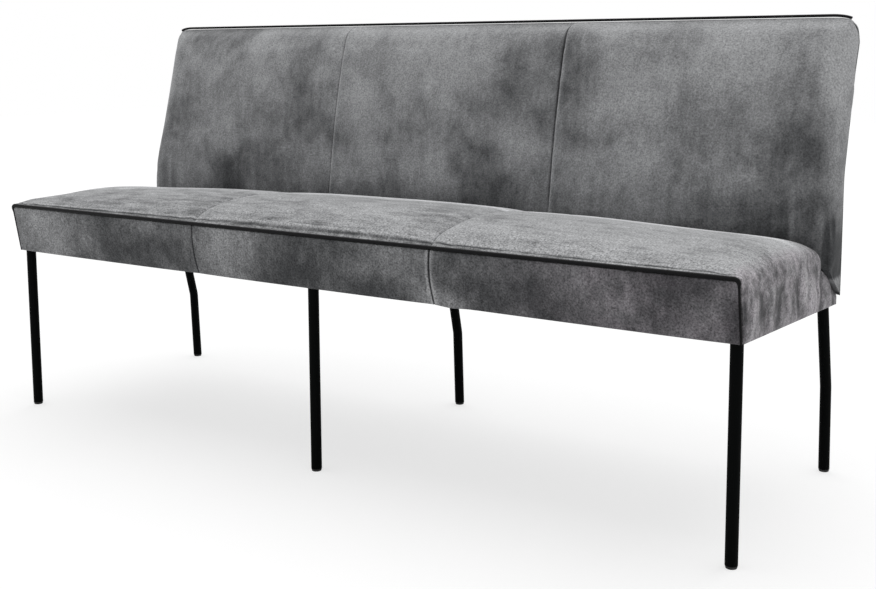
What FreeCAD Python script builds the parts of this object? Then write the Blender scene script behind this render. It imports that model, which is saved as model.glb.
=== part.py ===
import FreeCAD, Part
import math
import os

# Three-seat upholstered dining bench: padded seat and reclined back on six tube legs.
# Millimetres, +Z up, front towards -Y, origin on the floor under the middle of the bench.

# Legs
TUBE_RADIUS = 11.0
TUBE_WALL = 2.0
END_LEG_X = 874.0
FRONT_LEG_Y = -281.0
FRONT_CENTRE_LEG_Y = -285.0
REAR_FOOT_Y = 265.0
REAR_BEND_Y = 257.0
REAR_BEND_Z = 178.0
REAR_TOP_Y = 215.0
REAR_BEND_RADIUS = 45.0
GLIDE_HEIGHT = 5.0
GLIDE_TAPER = 1.5
GLIDE_STEM = 18.0
GLIDE_STEM_CLEARANCE = 0.6

# Mounting plates and their coach screws
PLATE_DEPTH = 85.0
PLATE_WIDTH = 85.0
CENTRE_PLATE_WIDTH = 56.0
PLATE_CORNER = 5.5
PLATE_MARGIN = 14.0
PLATE_LEG_MARGIN = 36.0
REAR_PLATE_OVERHANG = 16.0
SCREW_RADIUS = 2.5
SCREW_LENGTH = 30.0
SCREW_HEAD_RADIUS = 5.5
SCREW_HEAD_HEIGHT = 4.0

# Seat underside, which falls towards the rear, and heights above it
SEAT_FRONT_Y = -299.0
SEAT_FRONT_Z = 382.0
SEAT_SLOPE = 0.061
RAIL_LOW = 3.0
RAIL_HIGH = 74.0
CROSS_RAIL_HIGH = 62.0
TAIL_RAIL_HIGH = 36.0
STRAP_THICKNESS = 2.0
FIT_GAP = 1.0
FOAM_LOW = RAIL_HIGH + STRAP_THICKNESS + FIT_GAP
DUST_COVER_THICKNESS = 0.8

# Timber frame of the seat
RAIL_THICKNESS = 24.0
FRAME_HALF_LENGTH = 876.0
FRONT_RAIL_Y = -290.0
REAR_RAIL_Y = 112.0
TAIL_RAIL_Y = 186.0
CENTRE_RAIL_WIDTH = 60.0
CORNER_BLOCK = 110.0
TAIL_BLOCK_WIDTH = 72.0
SEAT_STRAP_WIDTH = 60.0
SEAT_STRAPS_PER_BAY = 4

# Seat upholstery
SEAM_X = 301.0
SEAT_HALF_LENGTH = 890.0
COVER = 3.0
FRONT_PANEL_LEAN = 18.0
FRONT_PANEL_BULGE = 5.0
FRONT_PANEL_FLATNESS = 1.0
FRONT_PANEL_END_GAP = 6.4
SEAT_EDGE_Z = 492.0
SEAT_PIPING_RADIUS = 4.0
SEAT_PIPING_CORNER = 9.0
SEAT_SWELL = 8.0
SEAT_END_SWELL = 4.0
SEAT_END_LENGTH = 250.0
SEAT_END_SQUARENESS = 0.77
SEAT_END_NOSE_DROP = 28.0
SEAT_END_DROP = 63.0
SEAT_END_REAR_DROP = 50.0
SEAT_END_TURN_DROP = 44.0
SEAT_END_EDGE_DROP = 30.0
SEAT_NOSE_Y = -272.0
SEAT_NOSE_Z = 512.0
SEAT_CROWN_FRONT_Y = -200.0
SEAT_CROWN_FRONT_Z = 526.0
SEAT_CROWN_Y = -80.0
SEAT_CROWN_Z = 530.0
SEAT_CROWN_REAR_Y = 100.0
SEAT_CROWN_REAR_Z = 505.5
SEAT_REAR_TURN_Y = 131.0
SEAT_REAR_TURN_Z = 493.5
SEAT_REAR_Y = 141.0
SEAT_REAR_EDGE_Z = 470.0
SIDE_CUT_Z = 432.0
SIDE_CUT_SLOPE = 0.511
SEAT_TAIL_Y = 250.0

# Back upholstery
BACK_HALF_LENGTH = 900.0
BACK_GAP = 4.0
BACK_FOOT_Y = 146.0
BACK_WAIST_Y = 145.0
BACK_WAIST_Z = 500.0
BACK_BELLY_Y = 176.0
BACK_BELLY_Z = 700.0
BACK_SHOULDER_Y = 219.0
BACK_SHOULDER_Z = 868.0
BACK_BROW_Y = 236.0
BACK_BROW_Z = 896.0
BACK_CREST_Y = 267.0
BACK_CREST_Z = 911.5
REAR_BROW_Y = 305.0
REAR_BROW_Z = 900.0
REAR_SHOULDER_Z = 872.0
REAR_BEND_LINE_Z = 605.0
REAR_FACE_Y = 253.0
REAR_END_TURN = 12.0
REAR_END_TURN_WIDTH = 8.0
REAR_RAKE = 0.262
BACK_SWELL = 8.0
BACK_END_LENGTH = 70.0
BACK_END_RECESS = 42.0
BACK_WAIST_RECESS = 17.0
BACK_FOOT_RECESS = 12.0
BACK_CORNER_RADIUS = 260.0
BACK_PIPING_RADIUS = 3.0
BACK_PIPING_HALF_LENGTH = 893.0

# Timber frame of the back
POST_WIDTH = 25.0
POST_DEPTH = 36.0
POST_CLEARANCE = 5.0
POST_TOP_Z = 826.0
TOP_RAIL_HEIGHT = 42.0
END_POST_X = 864.0
MIDDLE_RAIL_Z = 605.0
BOTTOM_RAIL_Z = 470.0
BACK_RAIL_HEIGHT = 44.0
BACK_STRAP_WIDTH = 60.0
BACK_STRAP_HEIGHTS = (490.0, 566.0, 648.0, 724.0, 800.0)
BOLT_RADIUS = 4.0
BOLT_HEAD_RADIUS = 7.0
BOLT_HEAD_HEIGHT = 1.8
BOLT_LENGTH = 62.0
BOLT_HEIGHTS = (12.0, 27.0)

# Clear space between pieces that face each other, and how far cutting shapes run past a face
CLEARANCE = 0.6
OVERSHOOT = 8.0
JOINT_OVERSHOOT = 2.0

# Sides of small straight-sided forms that stand for round ones, and chords in a tight arc
HEAD_SIDES = 6
STEM_SIDES = 8
PIPING_SIDES = 10
BORE_SIDES = 12
GLIDE_SIDES = 20
TIGHT_ARC_CHORDS = 4
HIDDEN_ARC_CHORDS = 2

# An axis with a smaller sideways share than this counts as lying along the bench
PARALLEL_LIMIT = 0.1

SIDES = {"left": -1.0, "right": 1.0}
PLACES = {"left": -1.0, "centre": 0.0, "right": 1.0}
POST_PLACES = {"left": -END_POST_X, "inner_left": -SEAM_X, "inner_right": SEAM_X, "right": END_POST_X}

# Stations of a section: across a sewn panel from seam to seam, and round an end, in degrees
PANEL_STATIONS = (-1.0, -0.72, 0.0, 0.72, 1.0)
END_ANGLES = (34.0, 62.0, 90.0)
SEAT_END_ANGLES = (30.0, 56.0, 76.0, 90.0)
PLAIN_END_ANGLES = (50.0, 90.0)


def vec(x, y, z):
    return FreeCAD.Vector(x, y, z)


def export(name, shape):
    shape.exportStep(f"parts/{name}.step")


def without(shape, tools):
    """Shape less every tool that comes near it."""
    for tool in tools:
        if shape.BoundBox.intersect(tool.BoundBox):
            shape = shape.cut(tool)
    return shape


def mirrored(shape):
    return shape.mirror(vec(0, 0, 0), vec(1, 0, 0))


# Guiding lines of the side view

def underside(y):
    """Height of the seat's lower edge at a depth."""
    return SEAT_FRONT_Z - SEAT_SLOPE * (y - SEAT_FRONT_Y)


def front_plane(z):
    """Depth of the plane behind the front panel, which leans out towards the top."""
    rise = (z - SEAT_FRONT_Z) / (SEAT_EDGE_Z - SEAT_FRONT_Z)
    return SEAT_FRONT_Y + COVER - FRONT_PANEL_LEAN * rise


def side_cut(y):
    """Height of the slanted joint between the seat and the lower end of the back."""
    return SIDE_CUT_Z - SIDE_CUT_SLOPE * (y - SEAT_REAR_Y)


def rear_face(z):
    """Depth of the back's rear face at a height: upright below the bend, raked above it."""
    return REAR_FACE_Y + REAR_RAKE * max(0.0, z - REAR_BEND_LINE_Z)


def post_rear(z):
    return rear_face(z) - POST_CLEARANCE


def post_front(z):
    return post_rear(z) - POST_DEPTH


# Building blocks

def tight_arc(start, via, end, chords):
    """Corners along a tight arc through three (y, z) points, past its start."""
    arc = Part.Arc(*(vec(0, *point) for point in (start, via, end))).toShape()
    return [(point.y, point.z) for point in arc.discretize(Number=chords + 1)[1:]]


def outline(x, steps):
    """Closed wire at x. A step is a (y, z) corner, or a pair of points for an arc."""
    start = vec(x, *steps[0])
    here = start
    edges = []
    for step in steps[1:]:
        if isinstance(step[0], tuple):
            via, end = (vec(x, *point) for point in step)
            edges.append(Part.Arc(here, via, end).toShape())
        else:
            end = vec(x, *step)
            edges.append(Part.LineSegment(here, end).toShape())
        here = end
    edges.append(Part.LineSegment(here, start).toShape())
    return Part.Wire(edges)


def bar(steps, x_low, x_high):
    """Solid with one outline from x_low to x_high."""
    return Part.Face(outline(x_low, steps)).extrude(vec(x_high - x_low, 0, 0))


def seat_bar(x_low, x_high, y_low, y_high, low, high):
    """Bar that follows the slope of the seat, between two heights above its underside."""
    return bar([
        (y_low, underside(y_low) + low),
        (y_high, underside(y_high) + low),
        (y_high, underside(y_high) + high),
        (y_low, underside(y_low) + high),
    ], x_low, x_high)


def loft(sections):
    """Solid with straight runs from one section to the next."""
    return Part.makeLoft(sections, True, True)


def polygon(centre, axis, radius, sides):
    """Flat face with equal sides, square to an axis."""
    across = axis.cross(vec(1, 0, 0))
    across = across.normalize() if across.Length > PARALLEL_LIMIT else vec(0, 1, 0)
    along = across.cross(axis)
    corners = []
    for index in range(sides + 1):
        angle = 2.0 * math.pi * index / sides
        corners.append(centre + along * (radius * math.cos(angle)) + across * (radius * math.sin(angle)))
    return Part.Face(Part.makePolygon(corners))


def prism(base, axis, radius, height, sides):
    """Straight-sided pin standing on base along axis."""
    return polygon(base, axis, radius, sides).extrude(axis * height)


def disc(centre, axis, radius):
    """Flat round face square to an axis."""
    return Part.Face(Part.Wire(Part.makeCircle(radius, centre, axis)))


def rod(edges, face):
    """Rod that carries its end face along tangent straight and round edges."""
    pieces = []
    for edge in edges:
        if isinstance(edge.Curve, Part.Circle):
            angle = math.degrees(edge.LastParameter - edge.FirstParameter)
            turn = (edge.Curve.Center, edge.Curve.Axis, angle)
            pieces.append(face.revolve(*turn))
            face = face.rotated(*turn)
        else:
            run = edge.valueAt(edge.LastParameter) - edge.valueAt(edge.FirstParameter)
            pieces.append(face.extrude(run))
            face = face.translated(run)
    return pieces[0].multiFuse(pieces[1:]) if len(pieces) > 1 else pieces[0]


def between(x_low, x_high):
    """Everything between two planes across the bench."""
    reach = BACK_HALF_LENGTH
    return Part.makeBox(x_high - x_low, 2 * reach, 2 * reach, vec(x_low, -reach, 0))


def sections_of(end):
    """Low and high x of the left, centre and right sections of a length that ends at plus or minus end."""
    return {"left": (-end, -SEAM_X), "centre": (-SEAM_X, SEAM_X), "right": (SEAM_X, end)}


# Legs, glides, plates and screws

def front_leg_path(x, y):
    return [Part.LineSegment(vec(x, y, 0), vec(x, y, underside(y) + RAIL_LOW)).toShape()]


def rear_leg_path(x):
    """Two straight runs with a bend between them."""
    foot = vec(x, REAR_FOOT_Y, 0)
    bend = vec(x, REAR_BEND_Y, REAR_BEND_Z)
    top = vec(x, REAR_TOP_Y, underside(REAR_TOP_Y) + RAIL_LOW)
    down = (foot - bend).normalize()
    up = (top - bend).normalize()
    half_turn = 0.5 * (math.pi - down.getAngle(up))
    setback = REAR_BEND_RADIUS * math.tan(half_turn)
    depth = REAR_BEND_RADIUS * (1.0 / math.cos(half_turn) - 1.0)
    arc_start = bend + down * setback
    arc_end = bend + up * setback
    arc = Part.Arc(arc_start, bend + (down + up).normalize() * depth, arc_end)
    return [
        Part.LineSegment(foot, arc_start).toShape(),
        arc.toShape(),
        Part.LineSegment(arc_end, top).toShape(),
    ]


def start_of(path):
    """Start point and direction of a path."""
    edge = path[0]
    return edge.valueAt(edge.FirstParameter), edge.tangentAt(edge.FirstParameter)


def leg(path):
    """Tube trimmed level above its glide and flush under its plate."""
    foot, axis = start_of(path)
    bore = rod(path, polygon(foot, axis, TUBE_RADIUS - TUBE_WALL, BORE_SIDES))
    tube = rod(path, disc(foot, axis, TUBE_RADIUS)).cut(bore)
    x_low, x_high = foot.x - 2 * TUBE_RADIUS, foot.x + 2 * TUBE_RADIUS
    y_low, y_high = SEAT_FRONT_Y - TUBE_RADIUS, REAR_FOOT_Y + 2 * TUBE_RADIUS
    glide_space = bar([
        (y_low, -TUBE_RADIUS),
        (y_high, -TUBE_RADIUS),
        (y_high, GLIDE_HEIGHT),
        (y_low, GLIDE_HEIGHT),
    ], x_low, x_high)
    return tube.cut(glide_space).cut(seat_bar(x_low, x_high, y_low, y_high, 0.0, RAIL_HIGH))


def glide(path):
    """Push-in plastic foot: a tapered cap and a ribbed stem inside the tube."""
    foot, axis = start_of(path)
    low = polygon(foot, vec(0, 0, 1), TUBE_RADIUS - GLIDE_TAPER, GLIDE_SIDES)
    high = polygon(foot + vec(0, 0, GLIDE_HEIGHT), vec(0, 0, 1), TUBE_RADIUS, GLIDE_SIDES)
    cap = loft([low.OuterWire, high.OuterWire])
    stem_radius = TUBE_RADIUS - TUBE_WALL - GLIDE_STEM_CLEARANCE
    stem = prism(foot + axis * (0.5 * GLIDE_HEIGHT), axis, stem_radius, GLIDE_STEM, STEM_SIDES)
    return cap.fuse(stem)


def plate_extent(side, leg_y, is_front):
    """Low and high x, low and high y of a plate: the leg stands at its outer corner or edge."""
    if side:
        outer = END_LEG_X + TUBE_RADIUS
        x_low, x_high = sorted((side * outer, side * (outer - PLATE_WIDTH)))
    else:
        x_low, x_high = -CENTRE_PLATE_WIDTH / 2, CENTRE_PLATE_WIDTH / 2
    if is_front:
        y_low = leg_y - TUBE_RADIUS
    else:
        y_low = leg_y + REAR_PLATE_OVERHANG - PLATE_DEPTH
    return x_low, x_high, y_low, y_low + PLATE_DEPTH


def plate_column(extent):
    """Upright column with the outline of a plate and its clipped corners."""
    x_low, x_high, y_low, y_high = extent
    box = Part.makeBox(x_high - x_low, y_high - y_low, SEAT_EDGE_Z, vec(x_low, y_low, 0))
    uprights = [edge for edge in box.Edges if edge.BoundBox.ZLength > SEAT_EDGE_Z / 2]
    return box.makeChamfer(PLATE_CORNER, uprights)


def screw_places(extent, side, is_front):
    """Screw holes near the corners of a plate that its leg leaves free."""
    x_low, x_high, y_low, y_high = extent
    x_low, x_high = x_low + PLATE_MARGIN, x_high - PLATE_MARGIN
    if is_front:
        near_y, far_y = y_low + PLATE_LEG_MARGIN, y_high - PLATE_MARGIN
    else:
        near_y, far_y = y_high - PLATE_LEG_MARGIN, y_low + PLATE_MARGIN
    near_x = {-1.0: (x_high,), 0.0: (x_low, x_high), 1.0: (x_low,)}[side]
    return [(x_low, far_y), (x_high, far_y)] + [(x, near_y) for x in near_x]


def screw(x, y):
    """Coach screw square to the plate, with its head under it."""
    axis = vec(0, SEAT_SLOPE, 1).normalize()
    base = vec(x, y, underside(y))
    shank = prism(base, axis, SCREW_RADIUS, SCREW_LENGTH, STEM_SIDES)
    return shank.fuse(prism(base, axis * -1, SCREW_HEAD_RADIUS, SCREW_HEAD_HEIGHT, HEAD_SIDES))


def build_base():
    """Legs, plates, glides and screws. Returns the screws and the columns of the plates."""
    columns = []
    screws = []
    glides = []
    for row in ("front", "rear"):
        is_front = row == "front"
        for place, side in PLACES.items():
            x = side * END_LEG_X
            if is_front:
                top_y = FRONT_LEG_Y if side else FRONT_CENTRE_LEG_Y
                path = front_leg_path(x, top_y)
            else:
                top_y = REAR_TOP_Y
                path = rear_leg_path(x)
            extent = plate_extent(side, top_y, is_front)
            own_screws = [screw(*spot) for spot in screw_places(extent, side, is_front)]
            column = plate_column(extent)
            plate = column.common(seat_bar(*extent, 0.0, RAIL_LOW))
            export(f"{row}_leg_{place}", leg(path))
            export(f"{row}_plate_{place}", without(plate, own_screws))
            glides.append(glide(path))
            columns.append(column)
            screws += own_screws
    export("foot_glides", Part.makeCompound(glides))
    export("plate_screws", Part.makeCompound(screws))
    return screws, columns


# Timber frame, webbing and dust cover of the seat

def corner_block(side):
    """Triangular glue block in a front corner of the seat frame."""
    corner = vec(side * (FRAME_HALF_LENGTH - RAIL_THICKNESS), FRONT_RAIL_Y + RAIL_THICKNESS, 0)
    along_x = corner - vec(side * CORNER_BLOCK, 0, 0)
    along_y = corner + vec(0, CORNER_BLOCK, 0)
    triangle = Part.Face(Part.makePolygon([corner, along_x, along_y, corner]))
    half = SEAT_HALF_LENGTH
    slab = seat_bar(-half, half, SEAT_FRONT_Y, SEAT_TAIL_Y, RAIL_LOW, CROSS_RAIL_HIGH)
    return triangle.extrude(vec(0, 0, SEAT_EDGE_Z)).common(slab)


def seat_straps():
    """Elastic straps from the front rail to the rear rail, evenly spaced in each bay."""
    straps = []
    bay_edges = (-FRAME_HALF_LENGTH, -SEAM_X, SEAM_X, FRAME_HALF_LENGTH)
    for bay_low, bay_high in zip(bay_edges, bay_edges[1:]):
        pitch = (bay_high - bay_low) / SEAT_STRAPS_PER_BAY
        for index in range(SEAT_STRAPS_PER_BAY):
            x = bay_low + pitch * (index + 0.5)
            straps.append(seat_bar(
                x - SEAT_STRAP_WIDTH / 2, x + SEAT_STRAP_WIDTH / 2,
                FRONT_RAIL_Y, REAR_RAIL_Y + RAIL_THICKNESS,
                RAIL_HIGH, RAIL_HIGH + STRAP_THICKNESS))
    return straps


def build_seat_frame(fixings, plate_columns):
    """Rails and blocks drilled for the fixings, webbing and dust cover."""
    half = FRAME_HALF_LENGTH
    inner_half = half - RAIL_THICKNESS
    front_inside = FRONT_RAIL_Y + RAIL_THICKNESS
    rear_outside = REAR_RAIL_Y + RAIL_THICKNESS
    tail_outside = TAIL_RAIL_Y + RAIL_THICKNESS
    back_space = bar([
        (SEAT_REAR_Y - OVERSHOOT, side_cut(SEAT_REAR_Y - OVERSHOOT) - BACK_GAP),
        (SEAT_TAIL_Y, side_cut(SEAT_TAIL_Y) - BACK_GAP),
        (SEAT_TAIL_Y, BACK_CREST_Z),
        (SEAT_REAR_Y - OVERSHOOT, BACK_CREST_Z),
    ], -half, half)
    front_rail = seat_bar(-half, half, FRONT_RAIL_Y, front_inside, RAIL_LOW, RAIL_HIGH)
    export("seat_front_rail", without(front_rail, fixings))
    rear_rail = seat_bar(-inner_half, inner_half, REAR_RAIL_Y, rear_outside, RAIL_LOW, RAIL_HIGH)
    export("seat_rear_rail", rear_rail)
    tail_rail = seat_bar(-half, half, TAIL_RAIL_Y, tail_outside, RAIL_LOW, TAIL_RAIL_HIGH)
    export("seat_tail_rail", without(tail_rail, fixings))
    for place, side in SIDES.items():
        x_low, x_high = sorted((side * half, side * inner_half))
        end_rail = seat_bar(x_low, x_high, front_inside, TAIL_RAIL_Y, RAIL_LOW, RAIL_HIGH)
        export(f"seat_end_rail_{place}", without(end_rail, fixings + [back_space]))
    for place, side in PLACES.items():
        x = side * SEAM_X
        reach = 0.5 * (RAIL_THICKNESS if side else CENTRE_RAIL_WIDTH)
        cross_rail = seat_bar(x - reach, x + reach, front_inside, REAR_RAIL_Y, RAIL_LOW, CROSS_RAIL_HIGH)
        export(f"seat_cross_rail_{place}", without(cross_rail, fixings))
    corner_blocks = Part.makeCompound([corner_block(side) for side in SIDES.values()])
    export("seat_corner_blocks", without(corner_blocks, fixings))
    end_block_x = inner_half - TAIL_BLOCK_WIDTH / 2
    tail_blocks = []
    for x in (-end_block_x, -SEAM_X, 0.0, SEAM_X, end_block_x):
        x_low, x_high = x - TAIL_BLOCK_WIDTH / 2, x + TAIL_BLOCK_WIDTH / 2
        tail_blocks.append(seat_bar(x_low, x_high, rear_outside, TAIL_RAIL_Y, RAIL_LOW, TAIL_RAIL_HIGH))
    export("seat_tail_blocks", without(Part.makeCompound(tail_blocks), fixings))
    export("seat_webbing", Part.makeCompound(seat_straps()))
    dust_low = RAIL_LOW - DUST_COVER_THICKNESS
    dust_rear = SEAT_TAIL_Y - POST_CLEARANCE
    dust_cover = seat_bar(-half, half, FRONT_RAIL_Y, dust_rear, dust_low, RAIL_LOW)
    export("dust_cover", without(dust_cover, plate_columns))


# Seat upholstery

def swell(u):
    """Fullness of a sewn panel: 1 over its middle, drawn down to 0 at a seam, where u is 1."""
    return 1.0 - abs(u) ** 4


def seat_section(x, rise, fall, inset):
    """Side outline of the seat, swollen by rise. fall runs from 0 to 1 where it rounds down to its end.

    An inset outline lies inside the cover and runs past the faces that the cover leaves open.
    """
    opening = OVERSHOOT if inset else 0.0
    lip = JOINT_OVERSHOOT if inset else 0.0
    chords = HIDDEN_ARC_CHORDS if inset else TIGHT_ARC_CHORDS
    raised = rise - inset
    front = (front_plane(SEAT_EDGE_Z) - opening, SEAT_EDGE_Z - inset - opening / 2)
    nose = (SEAT_NOSE_Y, SEAT_NOSE_Z + raised - SEAT_END_NOSE_DROP * fall)
    crown_front = (SEAT_CROWN_FRONT_Y, SEAT_CROWN_FRONT_Z + raised - SEAT_END_DROP * fall)
    crown = (SEAT_CROWN_Y, SEAT_CROWN_Z + raised - SEAT_END_DROP * fall)
    crown_rear = (SEAT_CROWN_REAR_Y, SEAT_CROWN_REAR_Z + raised - SEAT_END_REAR_DROP * fall)
    rear_turn = (SEAT_REAR_TURN_Y - inset, SEAT_REAR_TURN_Z + raised - SEAT_END_TURN_DROP * fall)
    rear_edge = (SEAT_REAR_Y - inset, SEAT_REAR_EDGE_Z - inset - SEAT_END_EDGE_DROP * fall)
    tail_y = SEAT_TAIL_Y + opening
    return outline(x, [
        (front_plane(SEAT_FRONT_Z) - opening, SEAT_FRONT_Z - opening),
        front,
        *tight_arc(front, nose, crown_front, chords),
        *(tight_arc(crown_front, crown, crown_rear, chords) if inset else [(crown, crown_rear)]),
        *tight_arc(crown_rear, rear_turn, rear_edge, chords),
        (rear_edge[0], side_cut(rear_edge[0]) + lip),
        (tail_y, side_cut(tail_y) + lip),
        (tail_y, underside(tail_y) - opening),
    ])


def seat_blocks(inset, panel_stations, end_angles, fullest):
    """The three upholstered sections of the seat, drawn in by inset."""
    overrun = OVERSHOOT if inset else 0.0
    centre = []
    for u in panel_stations:
        x = (SEAM_X + overrun) * u
        centre.append(seat_section(x, fullest * SEAT_SWELL * swell(u), 0.0, inset))
    right = []
    end_start = SEAT_HALF_LENGTH - SEAT_END_LENGTH
    for u in panel_stations:
        if u <= 0.0:
            x = end_start + (end_start - SEAM_X + overrun) * u
            right.append(seat_section(x, fullest * SEAT_END_SWELL * swell(u), 0.0, inset))
    for degrees in end_angles:
        angle = math.radians(degrees)
        along = math.sin(angle) ** SEAT_END_SQUARENESS
        level = math.cos(angle) ** SEAT_END_SQUARENESS
        x = end_start + (SEAT_END_LENGTH - inset) * along
        right.append(seat_section(x, fullest * SEAT_END_SWELL * level, 1.0 - level, inset))
    right = loft(right)
    return {"left": mirrored(right), "centre": loft(centre), "right": right}


def front_panel(x_low, x_high):
    """Leather panel under the front edge, fullest in the middle."""
    low_z = SEAT_FRONT_Z
    high_z = SEAT_EDGE_Z - SEAT_PIPING_RADIUS - CLEARANCE
    middle_z = 0.5 * (low_z + high_z)
    sections = []
    for u in PANEL_STATIONS:
        x = 0.5 * (x_low + x_high) + 0.5 * (x_high - x_low) * u
        bulge = FRONT_PANEL_FLATNESS + (FRONT_PANEL_BULGE - FRONT_PANEL_FLATNESS) * swell(u)
        sections.append(outline(x, [
            (front_plane(low_z), low_z),
            (front_plane(low_z) - COVER, low_z),
            ((front_plane(middle_z) - COVER - bulge, middle_z), (front_plane(high_z) - COVER, high_z)),
            (front_plane(high_z), high_z),
        ]))
    return loft(sections)


def seat_piping():
    """Cord along the top front edge that turns down both front corners."""
    corner = SEAT_PIPING_CORNER
    offset = SEAT_PIPING_RADIUS + CLEARANCE
    lean = vec(0, -FRONT_PANEL_LEAN, SEAT_EDGE_Z - SEAT_FRONT_Z).normalize()
    turns = []
    for side in (-1.0, 1.0):
        outward = vec(side, 0, 0)
        end = outward * (SEAT_HALF_LENGTH - 0.5 * SEAT_PIPING_RADIUS)
        low = end + vec(0, front_plane(SEAT_FRONT_Z) - offset, SEAT_FRONT_Z)
        high = end + vec(0, front_plane(SEAT_EDGE_Z) - offset, SEAT_EDGE_Z)
        turn_low = high - lean * corner
        turn_high = high - outward * corner
        bend = high - (lean + outward) * corner + (lean + outward).normalize() * corner
        turns.append([low, turn_low, bend, turn_high])
    left, right = turns
    path = [
        Part.LineSegment(left[0], left[1]).toShape(),
        Part.Arc(left[1], left[2], left[3]).toShape(),
        Part.LineSegment(left[3], right[3]).toShape(),
        Part.Arc(right[3], right[2], right[1]).toShape(),
        Part.LineSegment(right[1], right[0]).toShape(),
    ]
    return rod(path, polygon(*start_of(path), SEAT_PIPING_RADIUS, PIPING_SIDES))


def build_seat_upholstery():
    """Padding, foam, covers, front panels, piping and rear strip of the seat."""
    wide = BACK_HALF_LENGTH
    padded_half = SEAT_HALF_LENGTH - COVER
    padding_low = underside(FRONT_RAIL_Y) + RAIL_LOW + FIT_GAP
    padding_high = underside(FRONT_RAIL_Y) + FOAM_LOW
    export("seat_front_padding", bar([
        (front_plane(padding_low), padding_low),
        (FRONT_RAIL_Y, padding_low),
        (FRONT_RAIL_Y, padding_high),
        (front_plane(padding_high), padding_high),
    ], -padded_half, padded_half))
    for place, side in SIDES.items():
        x_low, x_high = sorted((side * FRAME_HALF_LENGTH, side * padded_half))
        low = RAIL_LOW + FIT_GAP
        padding = seat_bar(x_low, x_high, FRONT_RAIL_Y, SEAT_CROWN_REAR_Y, low, CROSS_RAIL_HIGH)
        export(f"seat_end_padding_{place}", padding)
    outer = seat_blocks(0.0, PANEL_STATIONS, SEAT_END_ANGLES, 1.0)
    inner = seat_blocks(COVER, (-1.0, 0.0, 1.0), PLAIN_END_ANGLES, 0.0)
    foam_rear = SEAT_REAR_Y - COVER - FIT_GAP
    around_foam = [
        seat_bar(-wide, wide, -wide, wide, -wide, FOAM_LOW),
        bar([(foam_rear, 0), (foam_rear, wide), (wide, wide), (wide, 0)], -wide, wide),
        bar([(front_plane(0), 0), (front_plane(wide), wide), (-wide, wide), (-wide, 0)], -wide, wide),
    ]
    piping = seat_piping()
    export("seat_piping", piping)
    panel_end = SEAT_HALF_LENGTH - FRONT_PANEL_END_GAP
    for place, (x_low, x_high) in sections_of(panel_end).items():
        export(f"seat_front_panel_{place}", front_panel(x_low, x_high).cut(piping))
        export(f"seat_cover_{place}", outer[place].cut(inner[place]))
    for place, (x_low, x_high) in sections_of(wide).items():
        foam = inner[place].common(between(x_low, x_high))
        export(f"seat_foam_{place}", without(foam, around_foam))
    tail_low = underside(SEAT_TAIL_Y)
    tail_high = side_cut(SEAT_TAIL_Y)
    export("seat_rear_strip", bar([
        (SEAT_TAIL_Y, tail_low),
        (SEAT_TAIL_Y + COVER, tail_low),
        (SEAT_TAIL_Y + COVER, tail_high),
        (SEAT_TAIL_Y, tail_high),
    ], -SEAT_HALF_LENGTH, SEAT_HALF_LENGTH))


# Timber frame and webbing of the back

def back_bar(x_low, x_high, z_low, z_high):
    """Bar as deep as the posts, following the rake of the rear face."""
    heights = [z_low, z_high]
    if z_low < REAR_BEND_LINE_Z < z_high:
        heights.insert(1, REAR_BEND_LINE_Z)
    rear = [(post_rear(z), z) for z in heights]
    front = [(post_front(z), z) for z in reversed(heights)]
    return bar(rear + front, x_low, x_high)


def frame_bolt(x, height):
    """Bolt from the rear of a post through the tail rail."""
    z = underside(TAIL_RAIL_Y) + height
    start = vec(x, post_rear(z), z)
    forward = vec(0, -1, 0)
    shank = prism(start, forward, BOLT_RADIUS, BOLT_LENGTH, STEM_SIDES)
    return shank.fuse(prism(start, forward * -1, BOLT_HEAD_RADIUS, BOLT_HEAD_HEIGHT, HEAD_SIDES))


def build_back_frame(bolts):
    """Posts, rails and webbing of the back, and the bolts that hold it to the seat."""
    foot_z = underside(post_front(0.0)) + RAIL_LOW
    for place, x in POST_PLACES.items():
        post = back_bar(x - POST_WIDTH / 2, x + POST_WIDTH / 2, foot_z, POST_TOP_Z)
        export(f"back_post_{place}", without(post, bolts))
    export("frame_bolts", Part.makeCompound(bolts))
    reach = END_POST_X + POST_WIDTH / 2
    export("back_top_rail", back_bar(-reach, reach, POST_TOP_Z, POST_TOP_Z + TOP_RAIL_HEIGHT))
    places = list(POST_PLACES.values())
    gaps = [(low + POST_WIDTH / 2, high - POST_WIDTH / 2) for low, high in zip(places, places[1:])]
    for name, z in (("middle", MIDDLE_RAIL_Z), ("bottom", BOTTOM_RAIL_Z)):
        low, high = z - BACK_RAIL_HEIGHT / 2, z + BACK_RAIL_HEIGHT / 2
        export(f"back_{name}_rails", Part.makeCompound([back_bar(*gap, low, high) for gap in gaps]))
    straps = []
    for z in BACK_STRAP_HEIGHTS:
        low, high = z - BACK_STRAP_WIDTH / 2, z + BACK_STRAP_WIDTH / 2
        straps.append(bar([
            (post_front(low), low),
            (post_front(high), high),
            (post_front(high) - STRAP_THICKNESS, high),
            (post_front(low) - STRAP_THICKNESS, low),
        ], -reach, reach))
    export("back_webbing", Part.makeCompound(straps))


# Back upholstery

def corner_drop(x):
    """How far the top edge falls towards the end of the back."""
    run = max(0.0, abs(x) - (BACK_HALF_LENGTH - BACK_END_LENGTH))
    return BACK_CORNER_RADIUS - math.sqrt(BACK_CORNER_RADIUS ** 2 - run ** 2)


def end_turn(x):
    """How far the rear face turns forward at the end of the back."""
    run = max(0.0, abs(x) - (BACK_HALF_LENGTH - REAR_END_TURN_WIDTH))
    return REAR_END_TURN * run / REAR_END_TURN_WIDTH


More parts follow.
